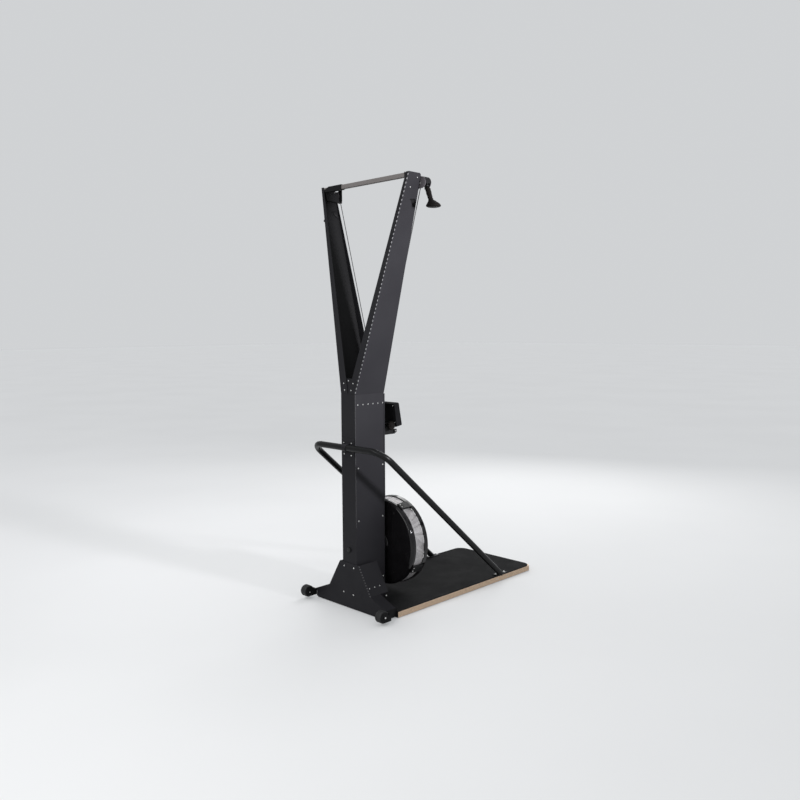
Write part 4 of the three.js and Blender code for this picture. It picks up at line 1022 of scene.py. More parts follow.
# %% Brace feet
FOOT_HALF_LENGTH, FOOT_PLATE = 46, 5
FOOT_INNER, FOOT_OUTER = 242, 275
FOOT_BOLT_ACROSS, FOOT_BOLT_ALONG, FOOT_HEAD = 257, 38, (5.5, 3.2)
WELD_STEPS, WELD_RADIUS, WELD_SIDES = 48, 1.8, 8
WELD_PROUD, WELD_OUTER = 0.6, 11.5

form = bmesh.new()
bolts = bmesh.new()
for sign in SIDES.values():
    inner_x, outer_x = sorted((sign * FOOT_INNER, sign * FOOT_OUTER))
    block(form, (inner_x, -BRACE_FOOT - FOOT_HALF_LENGTH, FOOT_TOP - FOOT_PLATE),
          (outer_x, -BRACE_FOOT + FOOT_HALF_LENGTH, FOOT_TOP))
    for along in (-FOOT_BOLT_ALONG, FOOT_BOLT_ALONG):
        screw(bolts, spot(sign * FOOT_BOLT_ACROSS, -BRACE_FOOT + along, FOOT_TOP), UP, *FOOT_HEAD)
feet = soften(object_from("brace_feet", form, brace_coat), 1.0)
foot_bolts = object_from("brace_foot_bolts", bolts, zinc)

weld_form = bmesh.new()
reach = (TUBE_RADIUS + WELD_PROUD) * MM
lean_stretch = 1 / abs(downward.z)
for sign in SIDES.values():
    centre = Vector((sign * BRACE_HALF * MM, brace_foot.y, FOOT_TOP * MM))
    collar = []
    for turn in circle_turns(WELD_STEPS) + [2 * math.pi]:
        outward = sign * math.cos(turn) > 0
        across = (min(reach, WELD_OUTER * MM) if outward else reach) * math.cos(turn)
        collar.append(centre + Vector((across, reach * lean_stretch * math.sin(turn), 0)))
    tube(weld_form, collar, WELD_RADIUS, WELD_SIDES, closed_ends=False)
welds = object_from("brace_welds", weld_form, brace_coat, math.radians(80))
for piece, slot in ((feet, "black_frame"), (welds, "black_frame"), (foot_bolts, "bright_steel")):
    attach(piece, "frame")
print("weld points:", WELD_STEPS)

# %% [markdown]
# The platform is the plywood board with its edges eased by sandpaper, two rubber strips
# under it and the mat on top. The mat's front corners are cut rounder than the board's,
# so the wood peeks out there; the cutter is what lies outside the corner's arc. A thin
# dark plate over each end of the board's rear edge paints the shade that lies there.

# %% Platform
MAT_CORNER, CORNER_STEPS, CUTTER_ROOM = 56, 12, 5
SHADE_PLATE_INNER, SHADE_PLATE_OUTER = BOARD_HALF - 20, BOARD_HALF + 0.3
SHADE_PLATE_FRONT, SHADE_PLATE_REAR, SHADE_PLATE_LOW, SHADE_PLATE_HIGH = -69.8, -68.2, 3, 34

board = rounded("platform_board", wood, 1.6, 1.6)
mat = rounded("platform_mat", mat_rubber, 0.9, 0.9)
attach(board, "frame")
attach(mat, "frame")
for side in SIDES:
    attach(rounded(f"{side}_foot_strip", strip_rubber, 0.6, 0.6), "frame")

mat_low, mat_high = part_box("platform_mat")
room = CUTTER_ROOM * MM
form = bmesh.new()
for side_x in (mat_low.x, mat_high.x):
    inward = -1 if side_x > 0 else 1
    centre = Vector((side_x + inward * MAT_CORNER * MM, mat_low.y + MAT_CORNER * MM, 0))
    turns = [math.pi / 2 * k / CORNER_STEPS for k in range(CORNER_STEPS + 1)]
    bend = [centre + Vector((-inward * math.cos(t), -math.sin(t), 0)) * MAT_CORNER * MM for t in turns]
    past_x, past_y = side_x - inward * room, mat_low.y - room
    outside = [Vector((bend[-1].x, past_y, 0)), Vector((past_x, past_y, 0)),
               Vector((past_x, bend[0].y, 0))]
    skin(form, [[form.verts.new(point + UP * height) for point in bend + outside]
                for height in (mat_low.z - room, mat_high.z + room)], True, True)
cut_away(mat, form)

# Dark plates on the board's rear ends: painted shade.
form = bmesh.new()
for sign in SIDES.values():
    low, high = sorted((sign * SHADE_PLATE_INNER, sign * SHADE_PLATE_OUTER))
    block(form, (low, SHADE_PLATE_FRONT, SHADE_PLATE_LOW), (high, SHADE_PLATE_REAR, SHADE_PLATE_HIGH))
end_shade_plates = soften(object_from("platform_end_shade_plates", form, dark_coat_and_shade), 0.4)
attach(end_shade_plates, "frame")
print("platform:", 2 * BOARD_HALF, "mm wide; the mat's corner has a radius of", MAT_CORNER, "mm")

# %% [markdown]
# Transport wheels are solid rubber on a moulded hub. The tread has two grooves and
# rounded shoulders, and the hub is dished with ribs between the boss and the rim. Both
# are turned, and since a wheel is alike on both sides, only half of each profile is drawn
# and then mirrored. The ribs are what turning can't give, so they are built one by one.

# %% Transport wheels
WHEEL_ACROSS, WHEEL_ALONG, WHEEL_HEIGHT = middle_of("left_wheel")
WHEEL_RADIUS, WHEEL_HALF = 30, 18
HUB_RADIUS, BOSS_RADIUS, AXLE_ROOM = 22, 14, 6.3
HUB_INNER, WEB_HALF = HUB_RADIUS - 0.2, 12
HALF_TREAD = [(HUB_RADIUS, WHEEL_HALF), (26.5, WHEEL_HALF), (28.6, 17.2), (29.7, 15.4), (WHEEL_RADIUS, 13),
              (WHEEL_RADIUS, 6.6), (28.8, 6), (28.8, 4.6), (WHEEL_RADIUS, 4)]
HALF_HUB = [(AXLE_ROOM, WHEEL_HALF), (BOSS_RADIUS - 1, WHEEL_HALF), (BOSS_RADIUS, 17),
            (BOSS_RADIUS, WEB_HALF), (HUB_INNER, WEB_HALF)]
RIBS = 6
RIB_REACH = (BOSS_RADIUS - 0.5, HUB_RADIUS + 0.3)
RIB_SECTION = ((-1.1, 11.5), (1.1, 11.5), (0.8, 16), (-0.8, 16))


def both_ways(half):
    """A whole profile from the half that is drawn."""
    return [(radius, -along) for radius, along in half] + half[::-1]


def rib(form, heart, turn, face):
    """One rib between boss and rim; face is the side of the wheel that it stands on."""
    spoke = Vector((0, math.cos(turn), math.sin(turn)))
    across = Vector((0, -math.sin(turn), math.cos(turn)))
    ends = [[form.verts.new(heart + (spoke * reach + across * width + Vector((face * out, 0, 0))) * MM)
             for width, out in RIB_SECTION] for reach in RIB_REACH]
    skin(form, ends, True, True)


for side, sign in SIDES.items():
    heart = spot(sign * WHEEL_ACROSS, WHEEL_ALONG, WHEEL_HEIGHT)
    form = bmesh.new()
    turned(form, both_ways(HALF_TREAD), heart, (1, 0, 0), 72, loop=True)
    tread = object_from(f"{side}_wheel_tread", form, tread_rubber, math.radians(35))
    form = bmesh.new()
    turned(form, both_ways(HALF_HUB), heart, (1, 0, 0), 48, loop=True)
    hub = object_from(f"{side}_wheel_hub", form, satin, math.radians(35))
    form = bmesh.new()
    for turn in circle_turns(RIBS):
        rib(form, heart, turn, -1)
        rib(form, heart, turn, 1)
    ribs = object_from(f"{side}_wheel_ribs", form, satin)
    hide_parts(f"{side}_wheel")
    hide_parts(f"{side}_wheel")
    for piece, slot in ((tread, "wheel_rubber"), (hub, "black_plastic"), (ribs, "black_plastic")):
        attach(piece, f"{side}_transport_wheel")
print("wheels at", WHEEL_ACROSS, "mm to each side with", RIBS, "ribs a face")

# %% [markdown]
# Each handle leans outward from its cord and ends in a flared foot that stops the hand.
# A subdivision surface could give such a shape from a few rings, but it would smooth the
# ribs away. So many level rings are stacked along the lean, eased between a few drawn
# ones, and their radius swells and shrinks by a hair to give the ribs that fingers feel.

# %% Handles
CORD_ACROSS, CORD_ALONG, BEAD_HEIGHT = middle_of("left_cord_stop")
BEAD_RADIUS, BEAD_STEPS = 6.4, 16
GRIP_TOP = corners_of("left_grip")[1][2]
GRIP_HEIGHT, GRIP_REACH, GRIP_STEPS = 99, 40, 40
# share of the way down, share of the way out, and radius
GRIP_RINGS = [(0, 0.02, 8.6), (0.045, 0.06, 11.8), (0.09, 0.1, 13.2), (0.3, 0.26, 13.2), (0.5, 0.44, 12.2),
              (0.62, 0.58, 12.4), (0.72, 0.8, 20), (0.8, 0.93, 28), (0.87, 1, 33.5), (0.93, 1, 36),
              (0.97, 1, 34), (1, 1, 27)]
GRIP_LEVEL_SHARES = [k / 60 for k in range(55)] + [0.915, 0.925, 0.94, 0.955, 0.965, 0.98, 0.992, 1]
RIB_FROM, RIB_TO, RIB_COUNT, RIB_RISE = 0.08, 0.62, 13, 0.45


def eased(points, share):
    """A smooth value at a share of the way down, through (share, value) points."""
    for (s0, v0), (s1, v1) in zip(points, points[1:]):
        if share <= s1:
            part = (share - s0) / (s1 - s0)
            part = part * part * (3 - 2 * part)
            return v0 + (v1 - v0) * part
    return points[-1][1]


def grip_ring(form, sign, down):
    """One level ring of the grip."""
    across = eased([(d, a) for d, a, _ in GRIP_RINGS], down)
    radius = eased([(d, r) for d, _, r in GRIP_RINGS], down)
    if RIB_FROM < down < RIB_TO:
        radius += RIB_RISE * math.sin(2 * math.pi * RIB_COUNT * (down - RIB_FROM) / (RIB_TO - RIB_FROM))
    centre = spot(sign * (CORD_ACROSS + across * GRIP_REACH), CORD_ALONG, GRIP_TOP - down * GRIP_HEIGHT)
    return [form.verts.new(centre + Vector((math.cos(t), math.sin(t), 0)) * radius * MM)
            for t in circle_turns(GRIP_STEPS)]


for side, sign in SIDES.items():
    form = bmesh.new()
    skin(form, [grip_ring(form, sign, down) for down in GRIP_LEVEL_SHARES], True, True)
    piece = object_from(f"{side}_handle_grip", form, grip_rubber, math.radians(50))
    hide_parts(f"{side}_grip")
    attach(piece, f"{side}_handle")
    form = bmesh.new()
    turns = [math.pi * k / BEAD_STEPS for k in range(BEAD_STEPS + 1)]
    bead = [(BEAD_RADIUS * math.sin(turn), BEAD_RADIUS * math.cos(turn)) for turn in turns]
    turned(form, bead, spot(sign * CORD_ACROSS, CORD_ALONG, BEAD_HEIGHT), UP, 2 * BEAD_STEPS)
    stop = object_from(f"{side}_stop_bead", form, satin, math.radians(60))
    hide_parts(f"{side}_cord_stop")
    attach(stop, f"{side}_cord_end")
print("grip:", GRIP_HEIGHT, "mm high with", RIB_COUNT, "ribs")

# %% [markdown]
# The monitor is a shallow moulded case that leans back on a folded mount. Its solids have
# the right shapes, so they get rounded edges and their finishes. Behind the case sit a
# battery door with a thumb ledge, three vent bars and four screws, and in front a bezel
# frames the screen. All of these lean with the case. Turning each by hand would soon
# leave one crooked, so one helper places every point in the case's own directions.

# %% Monitor
_, PIVOT_ALONG, PIVOT_HEIGHT = middle_of("tilt_knob")
PIVOT = spot(0, PIVOT_ALONG, PIVOT_HEIGHT)
CASE_LEAN = math.radians(9)
CASE_BACK, CASE_FRONT = -25, -59
CASE_LOW, CASE_HIGH, CASE_CORNER = -13, 111, 8
CASE_HALF = corners_of("monitor_case")[1][0]
DOOR_HALF, DOOR_LOW, DOOR_HIGH = 34, 34, 92
LEDGE_HALF, LEDGE_LOW, LEDGE_HIGH = 12, 84, 88
VENT_HALF, VENT_BAR, VENT_RISES = 26, 1.6, (96, 100, 104)
CASE_SCREWS = [(across, rise) for across in (-49, 49) for rise in (12, 101)]
CASE_HEAD = (3.0, 1.3)
BEZEL_HALF, BEZEL_LOW, BEZEL_HIGH, BEZEL_BAR = 49, 27, 99, 2.8
BEZEL_FRONT, BEZEL_BACK = CASE_FRONT - 0.9, CASE_FRONT + 1


def on_case(across, along, rise):
    """A point of the leaning case, from millimetres across, along and above its pivot."""
    lean = Vector((0, along * math.cos(CASE_LEAN) + rise * math.sin(CASE_LEAN),
                   rise * math.cos(CASE_LEAN) - along * math.sin(CASE_LEAN)))
    return PIVOT + Vector((across * MM, lean.y * MM, lean.z * MM))


MONITOR_PARTS = {
    "monitor_case": (case_plastic, "black_plastic", "monitor", 3.2),
    "monitor_screen": (display, "screen_face", "monitor", 0.4),
}
for name, (finish, slot, body, edge_radius) in MONITOR_PARTS.items():
    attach(rounded(name, finish, edge_radius, edge_radius), body)
for k in range(1, 5):
    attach(rounded(f"monitor_button_{k}", button_rubber, 1.2, 1.2), f"button_{k}")

form = bmesh.new()
block(form, (-DOOR_HALF, CASE_BACK - 0.5, DOOR_LOW), (DOOR_HALF, CASE_BACK + 1.1, DOOR_HIGH), on_case)
block(form, (-LEDGE_HALF, CASE_BACK + 0.6, LEDGE_LOW), (LEDGE_HALF, CASE_BACK + 2.2, LEDGE_HIGH), on_case)
for rise in VENT_RISES:
    block(form, (-VENT_HALF, CASE_BACK - 0.5, rise), (VENT_HALF, CASE_BACK + 1.2, rise + VENT_BAR), on_case)
door = soften(object_from("monitor_battery_door", form, case_plastic), 0.5)
form = bmesh.new()
out_of_case = on_case(0, 1, 0) - on_case(0, 0, 0)
for across, rise in CASE_SCREWS:
    screw(form, on_case(across, CASE_BACK, rise), out_of_case, *CASE_HEAD)
case_screws = object_from("monitor_case_screws", form, zinc)
form = bmesh.new()
bezel_inner = BEZEL_HALF - BEZEL_BAR
inner_low, inner_high = BEZEL_LOW + BEZEL_BAR, BEZEL_HIGH - BEZEL_BAR
for left, low, right, high in ((-BEZEL_HALF, inner_low, -bezel_inner, inner_high),
                               (bezel_inner, inner_low, BEZEL_HALF, inner_high),
                               (-BEZEL_HALF, inner_high, BEZEL_HALF, BEZEL_HIGH),
                               (-BEZEL_HALF, BEZEL_LOW, BEZEL_HALF, inner_low)):
    block(form, (left, BEZEL_FRONT, low), (right, BEZEL_BACK, high), on_case)
bezel = soften(object_from("monitor_bezel", form, satin), 0.5)
for piece, slot in ((door, "black_plastic"), (case_screws, "bright_steel"), (bezel, "black_plastic")):
    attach(piece, "monitor")
print("monitor height above pivot:", CASE_HIGH, "mm")

# %% [markdown]
# A thin hood runs round the front of the case and stands further proud towards its foot,
# so the case looks like a wedge from the side. It follows the case's rounded outline,
# once outside and once a sheet's thickness inside, and the four rings are joined into a
# closed frame. Rings that share one outline fit the case at every corner.

# %% Monitor: hood
HOOD_DEPTH, HOOD_SHEET, HOOD_EDGE = 4.4, 2.6, 0.6
HOOD_PROUD, HOOD_LAP, HOOD_CORNER_STEPS = 0.8, 4.5, 5


def case_outline(inset):
    """The case's rounded outline, drawn in by some millimetres, as across and rise."""
    points = []
    for quadrant, (right, high) in enumerate(((1, 1), (0, 1), (0, 0), (1, 0))):
        centre = ((CASE_HALF - CASE_CORNER) * (1 if right else -1),
                  CASE_HIGH - CASE_CORNER if high else CASE_LOW + CASE_CORNER)
        points += arc(centre, CASE_CORNER - inset, 90 * quadrant, 90 * quadrant + 90, HOOD_CORNER_STEPS)
    return points


def hood_ring(form, inset, proud):
    """One ring of the hood, in front of the case or back on its side."""
    ring = []
    for across, rise in case_outline(inset):
        deep = HOOD_PROUD + HOOD_DEPTH * (CASE_HIGH - rise) / (CASE_HIGH - CASE_LOW)
        along = CASE_FRONT - deep if proud else CASE_FRONT + HOOD_LAP
        ring.append(form.verts.new(on_case(across, along, rise)))
    return ring


form = bmesh.new()
rings = [hood_ring(form, inset, proud)
         for inset, proud in ((0, False), (HOOD_EDGE, True), (HOOD_SHEET, True), (HOOD_SHEET, False))]
skin(form, rings + rings[:1], False, False)
hood = soften(object_from("monitor_hood", form, case_plastic), 1.2)
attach(hood, "monitor")
print("hood: from", HOOD_PROUD, "to", HOOD_PROUD + HOOD_DEPTH, "mm proud")

# %% [markdown]
# Two cheeks stiffen the folded mount, and a round boss with a screw closes each of them.
# They stay below the case's path, so that the monitor can tilt without touching them. A
# cheek has one shape all through its thickness, so its side view is drawn once and pushed
# out to both its faces.

# %% Monitor: mount
CHEEK_SIDE = [(-235, 874), (-235, 930), (-249, 931), (-256, 912), (-264, 898), (-300, 894.5), (-318, 894.5),
              (-325, 889), (-322, 880), (-311, 874)]
CHEEK_INNER, CHEEK_OUTER = 13.4, 17.2
BOSS_PROFILE = [(0, 7.5), (7.4, 7.5), (9.2, 6.4), (10.2, 4.4), (10.2, 0)]
BOSS_ALONG, BOSS_HEIGHT, BOSS_STEPS = -311, 886.5, 36
MOUNT_SCREW, MOUNT_HEAD = (24.7, -310.5, 887), (4.2, 2.0)

form = bmesh.new()
ends = bmesh.new()
for sign in SIDES.values():
    rings = [[form.verts.new(spot(sign * across, along, height)) for along, height in CHEEK_SIDE]
             for across in (CHEEK_INNER, CHEEK_OUTER)]
    skin(form, rings, True, True)
    turned(form, BOSS_PROFILE, spot(sign * CHEEK_OUTER, BOSS_ALONG, BOSS_HEIGHT), (sign, 0, 0), BOSS_STEPS)
    across, along, height = MOUNT_SCREW
    screw(ends, spot(sign * across, along, height), (sign, 0, 0), *MOUNT_HEAD)
cheeks = soften(object_from("monitor_mount_cheeks", form, satin, math.radians(35)), 0.8)
cheek_screws = object_from("monitor_mount_screws", ends, zinc)
for piece, slot in ((cheeks, "black_frame"), (cheek_screws, "bright_steel")):
    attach(piece, "frame")
print("cheek sheet:", round(CHEEK_OUTER - CHEEK_INNER, 1), "mm")

# %% [markdown]
# The hand knob is moulded with lobes that fingers grip. Cutting the hollows between them
# out of a disc would leave sharp rims; a circle that swells at every lobe is smooth from
# the start. It is stacked in layers that are smaller at both faces. The knob's bolt
# passes through the mount and ends in a bright nut on the other side.

# %% Tilt knob
LOBES, LOBE_SWELL, LOBES_FROM = 12, 0.075, 12
KNOB_STEPS = 10 * LOBES
KNOB_LAYERS = [(-37, 17), (-37, 21), (-38.5, 22.4), (-49, 22.4), (-51.2, 20.2), (-50.4, 17), (-48.6, 15.5),
               (-48.6, 9), (-51.6, 8), (-52, 6), (-52, 0.1)]
KNOB_NECK = [(15, -38), (6.2, -38), (6.2, -17.6)]
KNOB_STEM = [(3.9, -38), (3.9, 17.4)]
KNOB_NUT = [(0, 22.4), (5.4, 22.4), (6.3, 21.6), (6.3, 17.6), (0, 17.6)]
KNOB_AXIS = (1, 0, 0)


def knob_ring(form, across, radius):
    """One layer of the knob; only its outer part has the lobes."""
    ring = []
    for turn in circle_turns(KNOB_STEPS):
        swell = 1 + LOBE_SWELL * math.cos(LOBES * turn) * (radius > LOBES_FROM)
        ring.append(form.verts.new(PIVOT + Vector((across, radius * swell * math.cos(turn),
                                                   radius * swell * math.sin(turn))) * MM))
    return ring


form = bmesh.new()
skin(form, [knob_ring(form, across, radius) for across, radius in KNOB_LAYERS], False, True)
turned(form, KNOB_NECK, PIVOT, KNOB_AXIS, 32)
turned(form, KNOB_STEM, PIVOT, KNOB_AXIS, 24)
knob = object_from("tilt_hand_knob", form, grip_rubber, math.radians(55))
form = bmesh.new()
turned(form, KNOB_NUT, PIVOT, KNOB_AXIS, 6)
knob_bolt = object_from("tilt_knob_bolt", form, zinc)
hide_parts("tilt_knob")
for piece, slot in ((knob, "black_plastic"), (knob_bolt, "bright_steel")):
    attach(piece, "monitor_knob")
print("knob lobes:", LOBES)

# %% [markdown]
# The bar between the arms ends in a dark sleeve, long on the far side and short on the
# near one, as the photograph shows it; the far sleeve's extra length paints the shade
# over that end of the bar. A strap runs forward from it to an ear beside the pulley, and
# a box inside the arm's channel carries the pulley's housing. All of them are cut from
# plate, so one helper turns an outline seen from behind into a plate.

# %% Bar end brackets
# The far sleeve's extra length is painted shade over the bar's far end.
SLEEVE_AND_SHADE_INNER = {"left": 164, "right": 288}
SLEEVE_ALONG = (-139, -113.6)
SLEEVE_LOW, SLEEVE_HIGH = 2131.6, 2157.6
SLEEVE_OUTER, SLEEVE_SHOULDER, SHOULDER_HEIGHT = 308, 301, 2141
SLEEVE_CREST, CREST_LEAST = 264, 4  # where its slope begins, and its least flat top
STRAP, STRAP_ALONG = [(258, 2150), (300, 2150), (300, 2153), (258, 2153)], (-203.2, -138)
EAR = [(257, 2091), (263, 2086), (300, 2086), (300, 2135), (288, 2137), (288, 2153), (257, 2153)]
EAR_ALONG = (-203.4, -201.4)
BOX_SIDE = [(-120, 2087), (-203, 2084), (-203, 2136.5), (-150, 2136.5), (-120, 2131)]
BOX_INSETS = (27, 3.2)  # of its inner and outer face, from the arm's outer face


def plate_from_behind(form, outline, along, sign):
    """An outline across and above, given a depth along the machine."""
    rings = [[form.verts.new(spot(sign * across, place, height)) for across, height in outline]
             for place in along]
    skin(form, rings, True, True)


for side, sign in SIDES.items():
    inner = SLEEVE_AND_SHADE_INNER[side]
    crest = max(SLEEVE_CREST, inner + CREST_LEAST)
    sleeve = [(inner, SLEEVE_LOW), (SLEEVE_OUTER, SLEEVE_LOW), (SLEEVE_SHOULDER, SHOULDER_HEIGHT),
              (crest, SLEEVE_HIGH), (inner, SLEEVE_HIGH)]
    form = bmesh.new()
    plate_from_behind(form, sleeve, SLEEVE_ALONG, sign)
    plate_from_behind(form, STRAP, STRAP_ALONG, sign)
    plate_from_behind(form, EAR, EAR_ALONG, sign)
    rings = [[form.verts.new(spot(sign * (arm_reach(height) - inset), along, height))
              for along, height in BOX_SIDE] for inset in BOX_INSETS]
    skin(form, rings, True, True)
    bracket = soften(object_from(f"{side}_bar_bracket", form, dark_coat_and_shade), 0.8)
    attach(bracket, "frame")
print("sleeves:", ", ".join(f"{SLEEVE_OUTER - inner} mm {side}" for side, inner in SLEEVE_AND_SHADE_INNER.items()))

# %% [markdown]
# Each pulley turns inside a housing shaped like a D: flat towards the arm and round on
# the outside, with a cheek on each side of the wheel and a rim over the top that keeps
# the cord in its groove. It stays open underneath, where cord and handle hang out. Cheeks
# and rim follow one round nose, so their outlines share its centre and turn about it.

# %% Pulley housings
NOSE, NOSE_RADIUS, NOSE_STEPS = (316, 2116), 28.5, 22
NOSE_TOP, NOSE_FOOT, RIM_END = 100, -75, -12  # turns in degrees
CHEEK_REAR, CHEEK_FRONT, CHEEK_SHEET = -200.4, -241.6, 2.2
ARM_SIDE, REAR_CHEEK_LAP = 301, 21
HOUSING_LOW, CHEEK_TOP, HOUSING_FOOT = 2088.5, 2142, 318
HOUSING_RIM_TOP, HOUSING_RIM_SHEET, RIM_ROOM = 2144, 1.8, 0.4

for side, sign in SIDES.items():
    form = bmesh.new()
    for near, far, start in ((CHEEK_REAR - CHEEK_SHEET, CHEEK_REAR, ARM_SIDE - REAR_CHEEK_LAP),
                             (CHEEK_FRONT, CHEEK_FRONT + CHEEK_SHEET, ARM_SIDE)):
        cheek = ([(start, HOUSING_LOW), (start, CHEEK_TOP)]
                 + arc(NOSE, NOSE_RADIUS, NOSE_TOP, NOSE_FOOT, NOSE_STEPS) + [(HOUSING_FOOT, HOUSING_LOW)])
        plate_from_behind(form, cheek, (near, far), sign)
    piece = soften(object_from(f"{side}_pulley_housing", form, housing), 0.6)
    form = bmesh.new()
    rim = ([(ARM_SIDE, HOUSING_RIM_TOP)] + arc(NOSE, NOSE_RADIUS, NOSE_TOP, RIM_END, NOSE_STEPS)
           + arc(NOSE, NOSE_RADIUS - HOUSING_RIM_SHEET, RIM_END, NOSE_TOP, NOSE_STEPS)
           + [(ARM_SIDE, HOUSING_RIM_TOP - HOUSING_RIM_SHEET)])
    plate_from_behind(form, rim, (CHEEK_FRONT + RIM_ROOM, CHEEK_REAR - RIM_ROOM), sign)
    cover = soften(object_from(f"{side}_pulley_rim", form, dark_coat_and_shade), 0.6)
    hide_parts(f"{side}_pulley_bracket")
    for part in (piece, cover):
        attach(part, "frame")
print("housings:", len(SIDES), "with a nose of radius", NOSE_RADIUS, "mm")

# %% [markdown]
# Bolts and rivets are what make sheet metal look built. They could be scattered along
# edges by a modifier, but real ones sit where the sheets overlap, so each group below has
# its places on the drawing, the way it faces and the size of its heads. A rivet is a low
# dome, a bolt is taller, and both are zinc plated.

# %% Bolts and rivets
OUT_REAR = Vector((0, 1, 0))
ARM_FACE = (ARM_TOP - COLUMN_TOP, ARM_FOOT_REACH - ARM_TOP_REACH)  # across and up, square to the arm's side
GUSSET_FACE = (142, 84)  # across and up, square to the gusset's slope
GUSSET_BACK = 4.3
WHEEL_FACE, FORK_INNER = 309.3, 262.2
# form, way it faces, radius and height of its heads, and places across, along and above
SIDE_GROUPS = [
    ("rivets", "side", 3.7, 1.8, [(COLUMN_HALF, along, 1045) for along in (-18, -53, -88, -121, -156, -189)]),
    ("bolts", "side", 4.2, 2.4, [(COLUMN_HALF, along, height) for along, height in (
        (-17.5, 727), (-186, 727), (-17.5, 459), (-184, 459), (-185.5, 142))]),
    ("rivets", "gusset", 3.2, 1.6, [(134.9, along, 132) for along in (-10, -45, -80)]),
    ("bolts", "arm", 4.0, 2.4, [(arm_reach(height), along, height) for along, height in (
        (-177, 2136.5), (-140, 2089))]),
    ("bolts", "rear", 3.6, 2.4, [(310.5, CHEEK_REAR, 2113.5)]),
    ("bolts", "side", 4.8, 2.0, [(WHEEL_FACE, WHEEL_ALONG, WHEEL_HEIGHT)]),
    ("bolts", "middle", 3.6, 1.2, [(FORK_INNER, WHEEL_ALONG, 38)]),
    ("bolts", "gusset", 3.6, 1.8, [(164, -98, 83)]),
    ("bolts", "side", 3.2, 1.2, [(BOARD_HALF, along, 17) for along in (-860, -950)]),
]
JOINT_RIVETS = [(36.5, 1150), (-3, 1164), (-33.5, 1151.5), (26, 1116.8), (-21, 1116.6)]
SLEEVE_HALF, SLEEVE_SINK = 20, 2.6  # between the arms only the sleeve's sunken sheet takes a rivet
CLAMP_BOLTS = [(30, 851), (-27, 852), (26, 796), (-26, 792)]
GUSSET_BOLTS = [(37, 218), (-36, 218), (42, 81), (-31, 79)]
BOX_NUT, BOX_NUT_PLACE, BOX_NUT_WAY = [(0, 2.6), (3.4, 2.6), (4.2, 1.8), (4.2, -0.2), (0, -0.2)], -174, 0.25

forms = {"rivets": bmesh.new(), "bolts": bmesh.new()}
for sign in SIDES.values():
    ways = {"side": Vector((sign, 0, 0)), "middle": Vector((-sign, 0, 0)), "rear": OUT_REAR,
            "gusset": Vector((sign * GUSSET_FACE[0], 0, GUSSET_FACE[1])).normalized(),
            "arm": Vector((sign * ARM_FACE[0], 0, ARM_FACE[1])).normalized()}
    for kind, way, radius, height, places in SIDE_GROUPS:
        for across, along, above in places:
            screw(forms[kind], spot(sign * across, along, above), ways[way], radius, height)
    box_top = BOX_SIDE[2][1]
    turned(forms["bolts"], BOX_NUT, spot(sign * (arm_reach(box_top) - BOX_INSETS[0]), BOX_NUT_PLACE, box_top),
           (-sign, 0, BOX_NUT_WAY), 6)
for across, height in JOINT_RIVETS:
    depth = arm_rear(height) if abs(across) > SLEEVE_HALF else -SLEEVE_SINK
    screw(forms["rivets"], spot(across, depth, height), OUT_REAR, 3.6, 1.8)
for across, height in CLAMP_BOLTS:
    screw(forms["bolts"], spot(across, 4, height), OUT_REAR, 4.2, 3.0)
for across, height in GUSSET_BOLTS:
    screw(forms["bolts"], spot(across, GUSSET_BACK, height), OUT_REAR, 4.0, 2.4)
for kind, form in forms.items():
    print(kind, len(form.faces), "faces")
    piece = object_from(f"frame_{kind}", form, zinc)
    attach(piece, "frame")

# %% [markdown]
# Thick sheet is folded along a row of short slots that are cut first, so that it bends
# where it should. The coat lies thin on their edges, and each shows pale. Cutting so many
# openings into a rounded edge would leave it ragged, so each is a flat pill laid on the
# fold, and the row follows the fold's line with an even pitch. The column's own folds
# have no slots; a fine pale strip along each is a painted highlight.

# %% Slots along the folds
ARM_SLOTS = dict(pitch=20, length=10, width=4.2, sink=1.0)
ARM_SLOTS_FROM, ARM_SLOTS_TO = COLUMN_TOP + 10, ARM_TOP - 14
GUSSET_SLOTS = dict(pitch=13, length=5.5, width=2.4, sink=0.7)
GUSSET_FOLD = ((75, 233), (154, 99))
GUSSET_SLOPE = 0.5
END_SLOT = dict(place=(258, 27), length=24, width=6, rise=0.4)
FOLD_HIGHLIGHT = dict(height=760, length=670, width=2.2, rise=0.2, sink=0.9)
SLOT_RISE, PILL_STEPS = 0.3, 16
PILL_SINK, PILL_SHOULDER_SHARE, PILL_TOP_SHARE = 0.4, 0.6, 0.8


def pill(form, centre, ahead, outward, length, width, rise):
    """A flat pill on a surface."""
    ahead = ahead.normalized()
    outward = (outward - ahead * outward.dot(ahead)).normalized()
    across = ahead.cross(outward)
    rings = []
    for lift, shrink in ((-PILL_SINK, 1.0), (rise * PILL_SHOULDER_SHARE, 1.0), (rise, PILL_TOP_SHARE)):
        ring = []
        for turn in circle_turns(PILL_STEPS):
            end = 1 if math.cos(turn) > 0 else -1
            along = (length - width) / 2 * end + width / 2 * math.cos(turn) * shrink
            beside = width / 2 * math.sin(turn) * shrink
            ring.append(form.verts.new(centre + (ahead * along + across * beside + outward * lift) * MM))
        rings.append(ring)
    skin(form, rings, False, True)


def slot_row(form, start, finish_line, outward, pitch, length, width, sink):
    """Pills at an even pitch along a fold."""
    line = finish_line - start
    count = int(line.length / (pitch * MM))
    sunk = start - outward.normalized() * sink * MM
    for k in range(count + 1):
        pill(form, sunk + line * (k / count), line, outward, length, width, SLOT_RISE)
    return count + 1


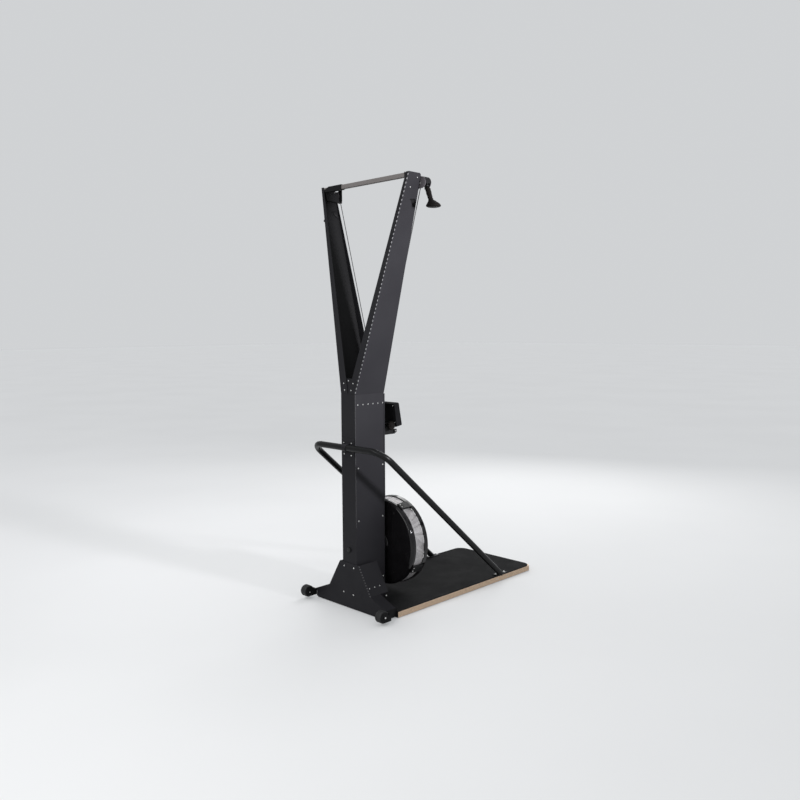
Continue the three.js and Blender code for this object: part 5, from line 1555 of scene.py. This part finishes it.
form = bmesh.new()
highlight_strips = bmesh.new()
made = 0
for sign in SIDES.values():
    corner = Vector((sign, 1, 0))
    low, high = (spot(sign * arm_reach(z), arm_rear(z), z) for z in (ARM_SLOTS_FROM, ARM_SLOTS_TO))
    made += slot_row(form, low, high, corner, **ARM_SLOTS)
    low, high = (spot(sign * across, GUSSET_BACK, z) for across, z in GUSSET_FOLD)
    made += slot_row(form, low, high, Vector((sign, 1, GUSSET_SLOPE)), **GUSSET_SLOTS)
    across, height = END_SLOT["place"]
    pill(form, spot(sign * across, GUSSET_BACK, height), UP, OUT_REAR, END_SLOT["length"], END_SLOT["width"],
         END_SLOT["rise"])
    # The pale strip on the column's fold is a painted highlight.
    column_edge = spot(sign * COLUMN_HALF, 0, FOLD_HIGHLIGHT["height"]) - corner.normalized() * FOLD_HIGHLIGHT["sink"] * MM
    pill(highlight_strips, column_edge, UP, corner.normalized(), FOLD_HIGHLIGHT["length"], FOLD_HIGHLIGHT["width"], FOLD_HIGHLIGHT["rise"])
slots = object_from("fold_slots", form, slot_edge, math.radians(60))
fold_highlights = object_from("column_fold_highlights", highlight_strips, painted_fold_highlight, math.radians(60))
for piece in (slots, fold_highlights):
    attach(piece, "frame")
print("slots:", made)

# %% [markdown]
# The cords are round braid. Each run over the pulleys is rebuilt as a fine tube on the
# route of its solid, which keeps it in the grooves that hold it; a new curve would have
# to be fitted to them again. The short drop below the arm pulley has to stretch when the
# handle is pulled; here it is a straight tube down the middle of its solid's box.

# %% Cords
RING_CORNERS = 8  # of the solid's faceted cords
CORD_STEPS, DROP_STEPS = 16, 24
CORD_RADIUS, BUNGEE_RADIUS, DROP_RADIUS = 2.0, 3.0, 1.85
CORD_CREASE = math.radians(50)


def ring_hearts(name):
    """The middle of each ring of a faceted tube, from its top end along it."""
    left = []
    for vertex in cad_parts[name].data.vertices:
        point = Vector(vertex.co)
        if not any((point - other).length < WELD for other in left):
            left.append(point)
    hearts = []
    while left:
        seed = min(left, key=lambda p: (p - hearts[-1]).length) if hearts else max(left, key=lambda p: p.z)
        near = sorted(left, key=lambda p: (p - seed).length)[:RING_CORNERS]
        hearts.append(sum(near, Vector()) / len(near))
        left = [p for p in left if p not in near]
    return hearts


def braided(name, points, radius, finish):
    """A round cord along points."""
    form = bmesh.new()
    tube(form, points, radius, CORD_STEPS)
    return object_from(f"{name}_braid", form, finish, CORD_CREASE)


for side in SIDES:
    for part, radius, finish, slot in (("cord_run", CORD_RADIUS, cord_braid, "cord_weave"),
                                       ("bungee", BUNGEE_RADIUS, bungee_braid, "bungee_rubber")):
        name = f"{side}_{part}"
        piece = braided(name, ring_hearts(name), radius, finish)
        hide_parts(name)
        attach(piece, "frame")
    drop_low, drop_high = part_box(f"{side}_cord_drop")
    middle = (drop_low + drop_high) / 2
    fall = drop_high.z - drop_low.z
    drop_points = [Vector((middle.x, middle.y, drop_low.z + fall * k / DROP_STEPS))
                   for k in range(DROP_STEPS + 1)]
    drop = braided(f"{side}_cord_drop", drop_points, DROP_RADIUS, cord_braid)
    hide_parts(f"{side}_cord_drop")
    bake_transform(drop)
print("cords:", 3 * len(SIDES))
